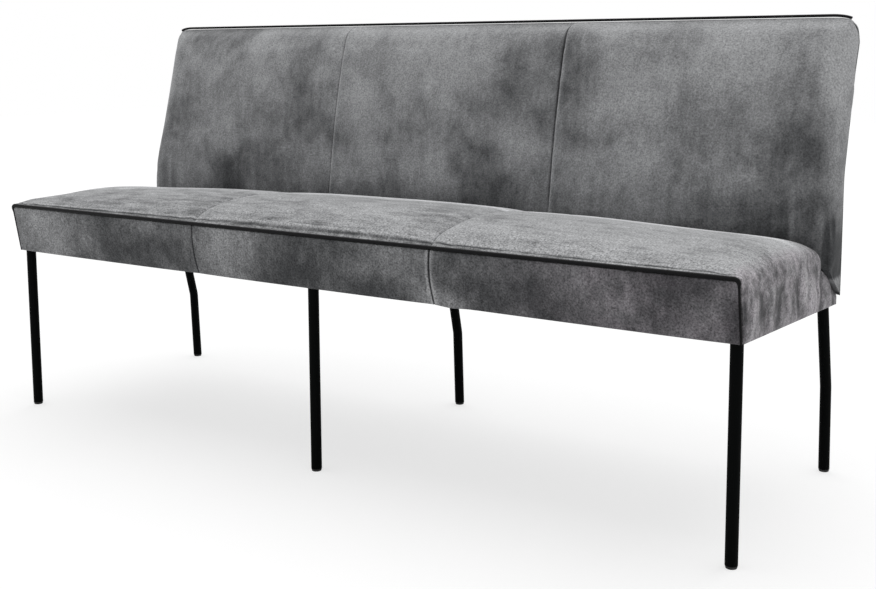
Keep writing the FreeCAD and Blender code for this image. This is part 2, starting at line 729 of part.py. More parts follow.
def back_section(x, fullness, recess, inset):
    """Side outline of the back in front of its rear cover. recess runs from 0 to 1 round an end.

    An inset outline lies inside the cover and runs past the faces that the cover leaves open.
    """
    opening = OVERSHOOT if inset else 0.0
    chords = HIDDEN_ARC_CHORDS if inset else TIGHT_ARC_CHORDS
    rear = opening - COVER - CLEARANCE
    drop = corner_drop(x)
    round_in = BACK_END_RECESS * recess
    forward = inset + round_in - BACK_SWELL * fullness
    foot_y = BACK_FOOT_Y + inset + BACK_FOOT_RECESS * recess
    waist = (BACK_WAIST_Y + inset + BACK_WAIST_RECESS * recess, BACK_WAIST_Z)
    shoulder = (BACK_SHOULDER_Y + forward, BACK_SHOULDER_Z - drop)
    belly = (BACK_BELLY_Y + forward, BACK_BELLY_Z)
    brow = (BACK_BROW_Y + forward, BACK_BROW_Z - inset - drop)
    crest = (BACK_CREST_Y + opening / 4, BACK_CREST_Z - inset - drop)
    ledge = (crest[0], crest[1] - CLEARANCE if inset else crest[1] - COVER - CLEARANCE)
    rear_brow = (REAR_BROW_Y + rear, REAR_BROW_Z + rear - drop)
    rear_shoulder = (rear_face(REAR_SHOULDER_Z) + rear - end_turn(x) / 2, REAR_SHOULDER_Z - drop)
    heel_y = REAR_FACE_Y + rear - end_turn(x)
    return outline(x, [
        (foot_y, side_cut(foot_y) + BACK_GAP - opening),
        waist,
        *(tight_arc(waist, belly, shoulder, chords) if inset else [(belly, shoulder)]),
        *tight_arc(shoulder, brow, crest, chords),
        ledge,
        *tight_arc(ledge, rear_brow, rear_shoulder, chords),
        (heel_y, REAR_BEND_LINE_Z),
        (heel_y, side_cut(heel_y) + BACK_GAP - opening),
    ])


def back_blocks(inset, panel_stations, end_angles, fullest):
    """The three upholstered sections of the back, drawn in by inset."""
    overrun = OVERSHOOT if inset else 0.0
    centre = []
    for u in panel_stations:
        x = (SEAM_X + overrun) * u
        centre.append(back_section(x, fullest * swell(u), 0.0, inset))
    right = []
    end_start = BACK_HALF_LENGTH - BACK_END_LENGTH
    for u in panel_stations:
        if u <= 0.0:
            x = end_start + (end_start - SEAM_X + overrun) * u
            right.append(back_section(x, fullest * swell(u), 0.0, inset))
    for degrees in end_angles:
        angle = math.radians(degrees)
        x = end_start + (BACK_END_LENGTH - inset) * math.sin(angle)
        right.append(back_section(x, fullest * math.cos(angle), 1.0 - math.cos(angle), inset))
    right = loft(right)
    return {"left": mirrored(right), "centre": loft(centre), "right": right}


def rear_section(x):
    """Outline of the rear cover: from the crest over the rear shoulder and down to the seat."""
    drop = corner_drop(x)
    crest = (BACK_CREST_Y, BACK_CREST_Z - drop)
    brow = (REAR_BROW_Y, REAR_BROW_Z - drop)
    shoulder = (rear_face(REAR_SHOULDER_Z) - end_turn(x) / 2, REAR_SHOULDER_Z - drop)
    face_y = REAR_FACE_Y - end_turn(x)
    heel_z = side_cut(face_y) + BACK_GAP
    inside_y = face_y - COVER
    inside_shoulder = (shoulder[0] - COVER, shoulder[1])
    inside_brow = (brow[0] - COVER, brow[1] - COVER)
    return outline(x, [
        crest,
        *tight_arc(crest, brow, shoulder, TIGHT_ARC_CHORDS),
        (face_y, REAR_BEND_LINE_Z),
        (face_y, heel_z),
        (inside_y, heel_z + SIDE_CUT_SLOPE * COVER),
        (inside_y, REAR_BEND_LINE_Z),
        inside_shoulder,
        *tight_arc(inside_shoulder, inside_brow, (crest[0], crest[1] - COVER), TIGHT_ARC_CHORDS),
    ])


def rear_cover():
    """Leather stretched over the rear, with the ends of the front covers turned in under it."""
    end_start = BACK_HALF_LENGTH - BACK_END_LENGTH
    ends = [end_start + BACK_END_LENGTH * math.sin(math.radians(angle)) for angle in (0.0, *END_ANGLES)]
    return loft([rear_section(x) for x in [-x for x in reversed(ends)] + ends])


def back_piping():
    """Cord along the crest, bending down with the corners."""
    z = BACK_CREST_Z + BACK_PIPING_RADIUS + CLEARANCE
    flat = BACK_HALF_LENGTH - BACK_END_LENGTH
    end = BACK_PIPING_HALF_LENGTH
    middle = 0.5 * (flat + end)
    points = [vec(x, BACK_CREST_Y, z - corner_drop(x)) for x in (-end, -middle, -flat, flat, middle, end)]
    path = [
        Part.Arc(points[0], points[1], points[2]).toShape(),
        Part.LineSegment(points[2], points[3]).toShape(),
        Part.Arc(points[3], points[4], points[5]).toShape(),
    ]
    return rod(path, polygon(*start_of(path), BACK_PIPING_RADIUS, PIPING_SIDES))


def build_back_upholstery():
    """Foam, covers, rear cover and piping of the back."""
    wide = BACK_HALF_LENGTH
    outer = back_blocks(0.0, PANEL_STATIONS, END_ANGLES, 1.0)
    inner = back_blocks(COVER, (-1.0, 0.0, 1.0), PLAIN_END_ANGLES, 0.0)
    front_gap = STRAP_THICKNESS + FIT_GAP
    frame_top = POST_TOP_Z + TOP_RAIL_HEIGHT + FIT_GAP
    heel_y = post_front(0.0) - front_gap
    around_foam = bar([
        (0, 0),
        (0, side_cut(0) + BACK_GAP),
        (heel_y, side_cut(heel_y) + BACK_GAP),
        (heel_y, REAR_BEND_LINE_Z),
        (post_front(frame_top) - front_gap, frame_top),
        (BACK_CREST_Y, frame_top),
        (BACK_CREST_Y, 2 * wide),
        (wide, 2 * wide),
        (wide, 0),
    ], -wide, wide)
    for place, (x_low, x_high) in sections_of(wide).items():
        export(f"back_cover_{place}", outer[place].cut(inner[place]))
        foam = inner[place].common(between(x_low, x_high))
        export(f"back_foam_{place}", foam.cut(around_foam))
    export("back_rear_cover", rear_cover())
    export("back_piping", back_piping())


def build():
    os.makedirs("parts", exist_ok=True)
    screws, plate_columns = build_base()
    bolts = [frame_bolt(x, height) for x in POST_PLACES.values() for height in BOLT_HEIGHTS]
    build_seat_frame(screws + bolts, plate_columns)
    build_seat_upholstery()
    build_back_frame(bolts)
    build_back_upholstery()


build()
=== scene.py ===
import math

import bmesh
import bpy
from bpy.props import FloatProperty, FloatVectorProperty, PointerProperty
from mathutils import Matrix, Vector, noise


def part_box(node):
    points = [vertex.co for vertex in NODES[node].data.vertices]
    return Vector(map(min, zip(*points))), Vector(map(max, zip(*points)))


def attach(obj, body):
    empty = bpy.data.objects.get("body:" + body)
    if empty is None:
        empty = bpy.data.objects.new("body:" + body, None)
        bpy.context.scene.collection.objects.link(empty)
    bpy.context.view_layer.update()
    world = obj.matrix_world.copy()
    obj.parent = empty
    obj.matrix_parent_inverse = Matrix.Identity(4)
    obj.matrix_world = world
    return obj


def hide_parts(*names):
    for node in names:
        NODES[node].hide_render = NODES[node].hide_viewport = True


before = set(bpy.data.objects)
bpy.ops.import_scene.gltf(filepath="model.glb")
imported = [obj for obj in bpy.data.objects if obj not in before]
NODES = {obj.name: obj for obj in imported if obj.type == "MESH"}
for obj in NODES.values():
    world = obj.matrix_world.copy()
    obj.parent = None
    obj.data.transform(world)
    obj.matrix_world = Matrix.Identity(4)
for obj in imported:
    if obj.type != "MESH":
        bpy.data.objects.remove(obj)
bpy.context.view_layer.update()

bl_info = {
    "name": "Upholstered dining bench",
    "version": (1, 0, 0),
    "blender": (4, 5, 0),
    "location": "View3D > Sidebar > Bench",
    "description": "Dresses the frame of a three-seat bench in nubuck leather on black tube legs",
    "category": "Object",
}

BODY = "root"
PLACES = ("left", "centre", "right")

# Half lengths along the bench, in metres
SEAM_X = 0.301
SEAT_END = 0.890
SEAT_ROUND = 0.160
BACK_END = 0.900
BACK_ROUND = 0.042
SEAM_GAP = 0.0006
SEAM_ROLL = (0.0, 0.0012, 0.0028, 0.0052)

# How seat and back round off towards their ends, how deep the seams are drawn in, and grid rows
SEAT_SQUARENESS = 0.64
SEAT_SAG = 0.22
SEAT_SAG_RUN = (0.40, 0.82)
BACK_SQUARENESS = 0.85
BACK_SHOULDER_DROP = 0.0097
BACK_END_DRAW = 0.010
REAR_TURN = 0.013
JOINT_DROOP = 0.011
SEAM_DEPTH = 0.0036
SEAM_PULL = 0.0022
SEWN_EDGE_ROWS = 12
SEAT_WALL_ROWS = 12
BACK_WALL_ROWS = 14
THIN_ROWS = 2

# Side view of the seat: depth and height of its guide points, over the middle and at the end
SEAT_TOP = ((-0.314, 0.492), (-0.291, 0.509), (-0.200, 0.527), (-0.080, 0.530), (0.090, 0.508),
            (0.131, 0.4935), (0.141, 0.470), (0.141, 0.434))
SEAT_TOP_END = ((-0.314, 0.492), (-0.291, 0.4875), (-0.200, 0.463), (-0.080, 0.467), (0.090, 0.4565),
                (0.131, 0.4495), (0.141, 0.440), (0.141, 0.434))
SEAT_TAIL_TOP = (0.249, 0.3825)
SEAT_UNDER = ((-0.2955, 0.3825), (0.249, 0.3495))

# Side view of the back: front guide points over the middle and at the end, and the line behind them
BACK_FRONT = ((0.146, 0.437), (0.145, 0.500), (0.176, 0.700), (0.219, 0.868), (0.236, 0.896),
              (0.266, 0.9112))
BACK_FRONT_END = ((0.155, 0.431), (0.156, 0.500), (0.214, 0.700), (0.262, 0.858), (0.2645, 0.886),
                  (0.2665, 0.9015))
BACK_BEHIND = ((0.249, 0.384), (0.249, 0.605), (0.3173, 0.868), (0.3120, 0.884), (0.3000, 0.8940),
               (0.2860, 0.9010), (0.2675, 0.9075))
BACK_BEHIND_END = ((0.249, 0.384), (0.249, 0.605), (0.3160, 0.859), (0.3110, 0.875), (0.3000, 0.8845),
                   (0.2860, 0.8915), (0.2675, 0.898))

# Front panels under the seat's piping, the rear cover and the strip below it
PANEL_LOW = (-0.299, 0.382)
PANEL_HIGH = (-0.3163, 0.4874)
PANEL_THICKNESS = 0.003
PANEL_END = 0.8855
PANEL_STEPS = 16
PANEL_FLATNESS = 0.001
PANEL_BULGE = 0.004
PANEL_SAG = 0.0015
CORNER_SAG = 0.0035
SEAM_BOW = 0.006
REAR_OUTSIDE = ((0.253, 0.3798), (0.253, 0.605), (0.3229, 0.872), (0.305, 0.900), (0.268, 0.9117))
REAR_INSIDE = ((0.250, 0.3798), (0.250, 0.605), (0.3199, 0.872), (0.302, 0.897), (0.268, 0.9087))
REAR_SPACING = 0.012
STRIP_SPACING = 0.014
STRIP_STEPS = 6
STRIP_RISE = 0.0015
STRIP_INSET = 0.0002

# Piping: the right leg of the seat's cord from its foot to its corner, and the line of the back's cord
SEAT_CORD_RADIUS = 0.004
SEAT_CORD_LOW = (0.8872, -0.2980, 0.382)
SEAT_CORD_HIGH = (0.8872, -0.3176, 0.492)
SEAT_CORD_LEAN = (0.0, -0.018, 0.110)
SEAT_CORD_CORNER = 0.009
SEAT_CORD_SPAN_STEPS = 160
SEAT_CORD_THINNEST = 0.45
BACK_CORD_RADIUS = 0.003
BACK_CORD_END = 0.8965
BACK_CORD_DEPTH = 0.267
BACK_CORD_HEIGHT = 0.9151
BACK_CORD_STEPS = 360

# Cloth simulation: length, settings, how much larger the cloth is cut, and its farthest move
CLOTH_FRAMES = 20
CLOTH = {"quality": 5, "mass": 0.4, "tension_stiffness": 25.0, "compression_stiffness": 25.0,
         "shear_stiffness": 10.0, "bending_stiffness": 2.0, "use_pressure": True,
         "uniform_pressure_force": 4.0, "vertex_group_mass": "held"}
SEAT_SLACK = 0.004
SEAT_FARTHEST = 0.0018
BACK_SLACK = 0.006
BACK_FARTHEST = 0.004

# Leathers: shift of the clouds, stretch of the brush marks, weights of cloud, blotch, brush marks and
# grain, and sheen
LEATHERS = {
    "brushed_grey_leather": ((0.14, 0.0, 0.0), (1.0, 0.3, 0.3), (1.65, 0.7, 0.5, 1.8), 0.05),
    "worn_grey_leather": ((0.0, 0.0, 0.0), (0.22, 0.9, 0.9), (0.8, 0.9, 1.6, 2.8), 0.2),
    "pebbled_grey_leather": ((0.0, 0.0, 0.0), (1.0, 0.5, 0.5), (1.8, 0.6, 0.6, 2.6), 0.2),
}

# Camera as solved from the photo, light and floor
CAMERA_PLACE = (1.5087, -2.1286, 0.8522)
CAMERA_YAW = 33.238
CAMERA_PITCH = 7.122
CAMERA_ROLL = -0.305
CAMERA_SHIFT = -0.1079
CAMERA_SENSOR = 36.0
CAMERA_REACH = 60.0
LIGHT_DIRECTION = (0.10, -0.28, -1.0)
LIGHT_SPREAD = 70.0
FLOOR_SIZE = 24.0
WHITE = (1.0, 1.0, 1.0, 1.0)


def ramp(low, high, value):
    """Soft ramp from 0 at low to 1 at high, and from 1 to 0 where low is the larger."""
    t = min(1.0, max(0.0, (value - low) / (high - low)))
    return t * t * (3.0 - 2.0 * t)


def swell(u):
    """Fullness of a sewn panel, 1 over its middle and 0 at a seam, where u is 1."""
    return 1.0 - abs(u) ** 4


def groove(distance, width):
    """Cross-section of a fold, 1 at its bottom."""
    return math.exp(-(distance / width) ** 2)


def seam_distance(x):
    """Distance along the bench from the nearer seam."""
    return abs(abs(x) - SEAM_X)


def seam_side(x):
    """Distance to the right of the seam on this half of the bench."""
    return x - SEAM_X if x > 0 else x + SEAM_X


def ripple(x, y, z):
    """Smooth noise between about -1 and 1, the same on every run."""
    return noise.noise(Vector((x, y, z)))


def span_counts(points, spacing):
    """Steps of about one spacing for each span between points."""
    return [max(2, round((Vector(q) - Vector(p)).length / spacing)) for p, q in zip(points, points[1:])]


def guide_curve(points, counts):
    """Smooth line through (depth, height) points, with a number of steps in each span."""
    keys = [Vector(p) for p in points]
    keys = [keys[0] * 2 - keys[1]] + keys + [keys[-1] * 2 - keys[-2]]
    line = [keys[1].copy()]
    for k, count in enumerate(counts):
        p0, p1, p2, p3 = keys[k:k + 4]
        a, b, c = ((q - p).length ** 0.5 + 1e-6 for p, q in ((p0, p1), (p1, p2), (p2, p3)))
        start_slope = ((p1 - p0) / a - (p2 - p0) / (a + b) + (p2 - p1) / b) * b
        end_slope = ((p2 - p1) / b - (p3 - p1) / (b + c) + (p3 - p2) / c) * b
        for step in range(1, count + 1):
            t = step / count
            line.append(p1 * (2 * t ** 3 - 3 * t ** 2 + 1) + start_slope * (t ** 3 - 2 * t ** 2 + t)
                        + p2 * (3 * t ** 2 - 2 * t ** 3) + end_slope * (t ** 3 - t ** 2))
    return line


def even_points(points, count):
    """count points evenly spaced along straight runs between points."""
    keys = [Vector(p) for p in points]
    lengths = [(q - p).length for p, q in zip(keys, keys[1:])]
    line = []
    for index in range(count):
        left = sum(lengths) * index / (count - 1)
        for p, q, length in zip(keys, keys[1:], lengths):
            if left <= length + 1e-9:
                line.append(p.lerp(q, left / length))
                break
            left -= length
    return line


def panel_stations(start, end, spacing):
    """Distances from seam to seam with u, which is -1 and 1 at the seams, and no end rounding."""
    count = max(4, round((end - start - 4.0 * SEAM_ROLL[-1]) / spacing))
    low, high = start + 2.0 * SEAM_ROLL[-1], end - 2.0 * SEAM_ROLL[-1]
    spots = [start + d for d in SEAM_ROLL]
    spots += [low + (high - low) * i / count for i in range(count + 1)]
    spots += [end - d for d in reversed(SEAM_ROLL)]
    return [(x, (2.0 * x - start - end) / (end - start), 0.0) for x in spots]


def end_stations(start, end, round_length, square, spacing):
    """Distances from a seam to the end of the bench with u and the share of the end rounding."""
    flat_end = end - round_length
    spots = [(x, 0.5 * (u - 1.0), 0.0) for x, u, fall in panel_stations(start, flat_end, spacing)]
    spots = spots[:-len(SEAM_ROLL)]
    turns = max(7, round(1.4 * round_length / spacing))
    for i in range(1, turns + 1):
        angle = 0.5 * math.pi * i / turns
        spots.append((flat_end + round_length * math.sin(angle) ** square, 0.0,
                      1.0 - max(0.0, math.cos(angle)) ** square))
    return spots


def seam_roll(u, x):
    """How far a panel's edge rolls in, 1 at the seam it ends at."""
    return math.exp(-seam_distance(x) / SEAM_PULL) if abs(u) > 0.5 else 0.0


def droop(x):
    """How much lower the joint between seat and back hangs towards the ends."""
    return JOINT_DROOP * ramp(0.80, 0.885, abs(x))


def rear_turn(x):
    """How far the back's rear edge turns forward towards its ends."""
    run = max(0.0, abs(x) - (BACK_END - REAR_TURN))
    return REAR_TURN - math.sqrt(max(0.0, REAR_TURN ** 2 - run ** 2))


def make_active(piece):
    """Selects one piece and nothing else."""
    bpy.ops.object.select_all(action="DESELECT")
    piece.select_set(True)
    bpy.context.view_layer.objects.active = piece


def new_object(name, data):
    """Object in the scene for a mesh, a curve, a light or a camera."""
    made = bpy.data.objects.new(name, data)
    bpy.context.scene.collection.objects.link(made)
    return made


def wear(piece, material):
    """Gives a piece one material and no other."""
    piece.data.materials.clear()
    piece.data.materials.append(material)


def sewn_block(name, fronts, backs, rows):
    """Closed padded form between matching lines of front and back points at each station.

    Its outside is a grid, and so are its two end walls, with a number of rows. The vertex group
    held keeps what seams, tacks and the frame hold still.
    """
    bm = bmesh.new()
    last = len(fronts[0]) - 1
    rings = []
    for front, back in zip(fronts, backs):
        ring = list(front)
        ring += [front[last].lerp(back[last], r / rows) for r in range(1, rows)]
        ring += reversed(back)
        ring += [front[0].lerp(back[0], r / rows) for r in range(rows - 1, 0, -1)]
        rings.append([bm.verts.new(p) for p in ring])
    size = len(rings[0])
    for r0, r1 in zip(rings, rings[1:]):
        for j in range(size):
            bm.faces.new((r0[j], r0[(j + 1) % size], r1[(j + 1) % size], r1[j]))
    free = {v for ring in rings[1:-1] for v in ring[1:last]}
    for end in (0, -1):
        ring = rings[end]
        grid = [ring[:last + 1]]
        for r in range(1, rows):
            inner = [bm.verts.new(fronts[end][j].lerp(backs[end][j], r / rows)) for j in range(1, last)]
            grid.append([ring[size - r]] + inner + [ring[last + r]])
            if end:
                free.update(inner)
        grid.append(ring[last + rows:last + rows + last + 1][::-1])
        for upper, lower in zip(grid, grid[1:]):
            for j in range(last):
                bm.faces.new((upper[j], upper[j + 1], lower[j + 1], lower[j]))
    if rows > 2:
        free.update(rings[-1][1:last])
    bmesh.ops.recalc_face_normals(bm, faces=bm.faces)
    bm.verts.index_update()
    held = [v.index for v in bm.verts if v not in free]
    mesh = bpy.data.meshes.new(name)
    bm.to_mesh(mesh)
    bm.free()
    piece = new_object(name, mesh)
    piece.vertex_groups.new(name="held").add(held, 1.0, "REPLACE")
    return piece


def mirror_lines(lines):
    """The same lines on the other half of the bench."""
    return [[Vector((-p.x, p.y, p.z)) for p in line] for line in lines]


def inflate(piece, slack, farthest):
    """Blows a padded piece up as cloth between its held edges, no point by more than farthest."""
    make_active(piece)
    scene = bpy.context.scene
    rest = [v.co.copy() for v in piece.data.vertices]
    bpy.ops.object.modifier_add(type="CLOTH")
    cloth = piece.modifiers[-1]
    for key, value in CLOTH.items():
        setattr(cloth.settings, key, value)
    cloth.settings.shrink_min = -slack
    cloth.settings.effector_weights.gravity = 0.0
    cloth.point_cache.frame_start = 1
    cloth.point_cache.frame_end = CLOTH_FRAMES
    for number in range(1, CLOTH_FRAMES + 1):
        scene.frame_set(number)
    blown = piece.evaluated_get(bpy.context.evaluated_depsgraph_get())
    moved = [v.co.copy() for v in blown.data.vertices]
    bpy.ops.object.modifier_remove(modifier=cloth.name)
    scene.frame_set(1)
    for vertex, start, end in zip(piece.data.vertices, rest, moved):
        step = end - start
        if step.length > farthest:
            step *= farthest / step.length
        vertex.co = start + step
    piece.data.update()


def displace(piece, folds, depth):
    """Moves each free vertex along its normal by depth times folds(place)."""
    mesh = piece.data
    free = [v for v in mesh.vertices if not v.groups]
    steps = [(v, v.normal * (depth * folds(v.co))) for v in free]
    for vertex, step in steps:
        vertex.co += step
    mesh.update()


def paint(piece, layer_name, level):
    """Stores a value at each vertex, such as the painted light and shade of the brushed pile there."""
    layer = piece.data.attributes.new(layer_name, "FLOAT", "POINT")
    layer.data.foreach_set("value", [level(v.co) for v in piece.data.vertices])


def finish_soft(piece, material, nodes):
    """Rounds a padded piece off, dresses it and puts it in place of its solids."""
    make_active(piece)
    rounding = piece.modifiers.new("rounding", "SUBSURF")
    rounding.levels = 1
    bpy.ops.object.modifier_apply(modifier=rounding.name)
    bpy.ops.object.shade_smooth()
    piece.vertex_groups.clear()
    wear(piece, material)
    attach(piece, BODY)
    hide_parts(*nodes)


# Finishes

def node(tree, kind, place, **values):
    """New node at a place of the tree, with its settings."""
    made = tree.nodes.new(kind)
    made.location = place
    for key, value in values.items():
        setattr(made, key, value)
    return made


def put(target, **values):
    """Sets inputs of a node by name, with underscores for spaces."""
    for key, value in values.items():
        target.inputs[key.replace("_", " ")].default_value = value


def feed(tree, sockets, values):
    """Links each socket to the socket given for it, or sets it to the plain value given."""
    for socket, value in zip(sockets, values):
        if isinstance(value, bpy.types.NodeSocket):
            tree.links.new(value, socket)
        else:
            socket.default_value = value


def math_node(tree, operation, first, second, place):
    """Result of two values, each a socket or a plain number."""
    made = node(tree, "ShaderNodeMath", place, operation=operation)
    feed(tree, made.inputs, (first, second))
    return made.outputs[0]


def noise_node(tree, vector, scale, detail, roughness, place, distortion=0.0):
    """Noise between 0 and 1."""
    made = node(tree, "ShaderNodeTexNoise", place)
    put(made, Scale=scale, Detail=detail, Roughness=roughness, Distortion=distortion)
    tree.links.new(vector, made.inputs["Vector"])
    return made.outputs["Fac"]


def blend_node(tree, factor, first, second, place, mode="MIX"):
    """Colour mix of two colours, each a socket or a plain colour."""
    made = node(tree, "ShaderNodeMix", place, data_type="RGBA", blend_type=mode, clamp_factor=True)
    feed(tree, (made.inputs[0], made.inputs[6], made.inputs[7]), (factor, first, second))
    return made.outputs[2]


def new_group(name, vectors, values, colours):
    """Node group with these inputs, and with colour, roughness and height as its outputs."""
    tree = bpy.data.node_groups.new(name, "ShaderNodeTree")
    inputs = (("Vector", vectors), ("Float", values), ("Color", colours))
    outputs = (("Color", ("Color",)), ("Float", ("Roughness", "Height")))
    for side, sockets in (("INPUT", inputs), ("OUTPUT", outputs)):
        for kind, labels in sockets:
            for label in labels:
                tree.interface.new_socket(label, in_out=side, socket_type=f"NodeSocket{kind}")
    source = node(tree, "NodeGroupInput", (-1200, 0))
    result = node(tree, "NodeGroupOutput", (900, 0))
    return tree, source.outputs, result.inputs


def pile_and_painted_light_group():
    """Node group for suede-like leather: cloudy pile, brush marks, fine grain and its height, with each
    piece's painted light and shade and painted highlight laid on its colour.
    """
    if "Brushed nap" in bpy.data.node_groups:
        return bpy.data.node_groups["Brushed nap"]
    values = ("Pile_light_and_shade", "Warm", "Painted_highlight", "Cloud", "Blotch", "Brush", "Grain")
    colours = ("Dark", "Light", "Blush")
    tree, source, result = new_group("Brushed nap", ("Vector", "Stroke"), values, colours)
    vector = source["Vector"]
    cloud = noise_node(tree, vector, 5.6, 2.0, 0.45, (-800, 300), 0.3)
    blotch = noise_node(tree, vector, 21.0, 4.0, 0.6, (-800, 100), 0.6)
    brush = noise_node(tree, source["Stroke"], 60.0, 3.0, 0.6, (-800, -100))
    grain = noise_node(tree, vector, 280.0, 2.0, 0.7, (-800, -300))
    crease = noise_node(tree, vector, 95.0, 3.0, 0.55, (-800, -500), 0.4)
    # Each piece's painted light and shade sets where its pile lies between dark and light
    total = math_node(tree, "ADD", source["Pile_light_and_shade"], 0.5, (-500, 500))
    for number, (field, weight) in enumerate(((cloud, "Cloud"), (blotch, "Blotch"), (brush, "Brush"))):
        level = 400 - 200 * number
        centred = math_node(tree, "SUBTRACT", field, 0.5, (-560, level))
        scaled = math_node(tree, "MULTIPLY", centred, source[weight], (-400, level))
        total = math_node(tree, "ADD", total, scaled, (-240, level))
    soft = node(tree, "ShaderNodeMapRange", (0, 300), interpolation_type="SMOOTHERSTEP")
    put(soft, From_Min=-0.4, From_Max=1.4)
    tree.links.new(total, soft.inputs["Value"])
    pile = blend_node(tree, soft.outputs["Result"], source["Dark"], source["Light"], (200, 300))
    warmth = math_node(tree, "MULTIPLY", source["Warm"], blotch, (200, 100))
    pile = blend_node(tree, warmth, pile, source["Blush"], (420, 300), "MULTIPLY")
    centred = math_node(tree, "SUBTRACT", grain, 0.5, (420, 100))
    speck = math_node(tree, "MULTIPLY", centred, source["Grain"], (560, 100))
    # Each piece's painted highlight brightens its colour
    painted_highlight = math_node(tree, "ADD", source["Painted_highlight"], 1.0, (560, -50))
    speckled = node(tree, "ShaderNodeVectorMath", (700, 300), operation="SCALE")
    tree.links.new(pile, speckled.inputs[0])
    tree.links.new(math_node(tree, "ADD", speck, painted_highlight, (700, 100)), speckled.inputs["Scale"])
    tree.links.new(speckled.outputs[0], result["Color"])
    rough = math_node(tree, "MULTIPLY", grain, 0.2, (200, -50))
    tree.links.new(math_node(tree, "ADD", rough, 0.62, (360, -50)), result["Roughness"])
    fine = math_node(tree, "MULTIPLY", grain, 0.6, (200, -250))
    tree.links.new(math_node(tree, "ADD", fine, crease, (360, -300)), result["Height"])
    return tree


def new_material(name):
    """Material with its tree, its shader and the socket of the object's own coordinates."""
    material = bpy.data.materials.new(name)
    material.use_nodes = True
    tree = material.node_tree
    shader = tree.nodes["Principled BSDF"]
    coordinates = node(tree, "ShaderNodeTexCoord", (-900, 0))
    return material, tree, shader, coordinates.outputs["Object"]


def wire(tree, shader, group, strength, distance):
    """Joins a group's colour, roughness and fine relief to the shader."""
    bump = node(tree, "ShaderNodeBump", (-250, -300))
    put(bump, Strength=strength, Distance=distance)
    tree.links.new(group.outputs["Height"], bump.inputs["Height"])
    tree.links.new(bump.outputs["Normal"], shader.inputs["Normal"])
    tree.links.new(group.outputs["Color"], shader.inputs["Base Color"])
    tree.links.new(group.outputs["Roughness"], shader.inputs["Roughness"])


def nubuck(name, leather):
    """Brushed grey leather from the table of leathers.

    Attributes of a piece hold the painted light and shade of its pile, where it is warmer, and its
    painted highlight.
    """
    if name in bpy.data.materials:
        return bpy.data.materials[name]
    shift, stroke, weights, sheen = LEATHERS[name]
    material, tree, shader, place = new_material(name)
    group = node(tree, "ShaderNodeGroup", (-600, 0), node_tree=pile_and_painted_light_group())
    put(group, Dark=(*leather.dark, 1.0), Light=(*leather.light, 1.0), Blush=(1.0, 0.86, 0.94, 1.0))
    put(group, **dict(zip(("Cloud", "Blotch", "Brush", "Grain"), weights)))
    for target, setting, height in (("Vector", {"Location": shift}, 450),
                                    ("Stroke", {"Scale": stroke}, 200)):
        mapping = node(tree, "ShaderNodeMapping", (-900, height))
        put(mapping, **setting)
        tree.links.new(place, mapping.inputs["Vector"])
        tree.links.new(mapping.outputs["Vector"], group.inputs[target])
    for layer_name, height in (("pile_light_and_shade", -250), ("warm", -450), ("painted_highlight", -650)):
        layer = node(tree, "ShaderNodeAttribute", (-900, height), attribute_name=layer_name)
        tree.links.new(layer.outputs["Fac"], group.inputs[layer_name.capitalize()])
    put(shader, Specular_IOR_Level=0.08, Sheen_Weight=sheen, Sheen_Roughness=0.35)
    wire(tree, shader, group, 0.35, 0.0012)
    return material


def speckle_group():
    """Node group for a coated or rough surface: slight change of colour, gloss and height."""
    if "Surface speckle" in bpy.data.node_groups:
        return bpy.data.node_groups["Surface speckle"]
    values = ("Scale", "Low Gloss", "High Gloss")
    tree, source, result = new_group("Surface speckle", ("Vector",), values, ("Dark", "Light"))
    fine = node(tree, "ShaderNodeTexNoise", (-450, 0))
    put(fine, Detail=3.0, Roughness=0.6)
    tree.links.new(source["Vector"], fine.inputs["Vector"])
    tree.links.new(source["Scale"], fine.inputs["Scale"])
    blend = blend_node(tree, fine.outputs["Fac"], source["Dark"], source["Light"], (100, 200))
    gloss = node(tree, "ShaderNodeMapRange", (100, -50))
    tree.links.new(fine.outputs["Fac"], gloss.inputs["Value"])
    tree.links.new(source["Low Gloss"], gloss.inputs["To Min"])
    tree.links.new(source["High Gloss"], gloss.inputs["To Max"])
    tree.links.new(blend, result["Color"])
    tree.links.new(gloss.outputs["Result"], result["Roughness"])
    tree.links.new(fine.outputs["Fac"], result["Height"])
    return tree


def coated(name, dark, light, scale, gloss, bump, metallic=0.0, specular=0.5, stretch=(1.0, 1.0, 1.0)):
    """Plain finish with a fine speckle, such as powder coat, plastic, felt, timber or zinc."""
    if name in bpy.data.materials:
        return bpy.data.materials[name]
    material, tree, shader, place = new_material(name)
    mapping = node(tree, "ShaderNodeMapping", (-750, 0))
    put(mapping, Scale=stretch)
    tree.links.new(place, mapping.inputs["Vector"])
    group = node(tree, "ShaderNodeGroup", (-550, 0), node_tree=speckle_group())
    put(group, Scale=scale, Low_Gloss=gloss[0], High_Gloss=gloss[1])
    put(group, Dark=(*dark, 1.0), Light=(*light, 1.0))
    tree.links.new(mapping.outputs["Vector"], group.inputs["Vector"])
    put(shader, Metallic=metallic, Specular_IOR_Level=specular)
    wire(tree, shader, group, bump, 0.0005)
    return material


def dress(names, material):
    """Gives CAD nodes a finish."""
    for name in names:
        wear(NODES[name], material)


# Settings

def amount(name, description, default, limit, unit="NONE"):
    """Setting between none and a limit."""
    return FloatProperty(name=name, description=description, default=default, min=0.0, max=limit,
                         unit=unit)


def colour(name, description, default):
    """Setting for a colour."""
    return FloatVectorProperty(name=name, description=description, default=default, size=3,
                               subtype="COLOR", min=0.0, max=1.0)


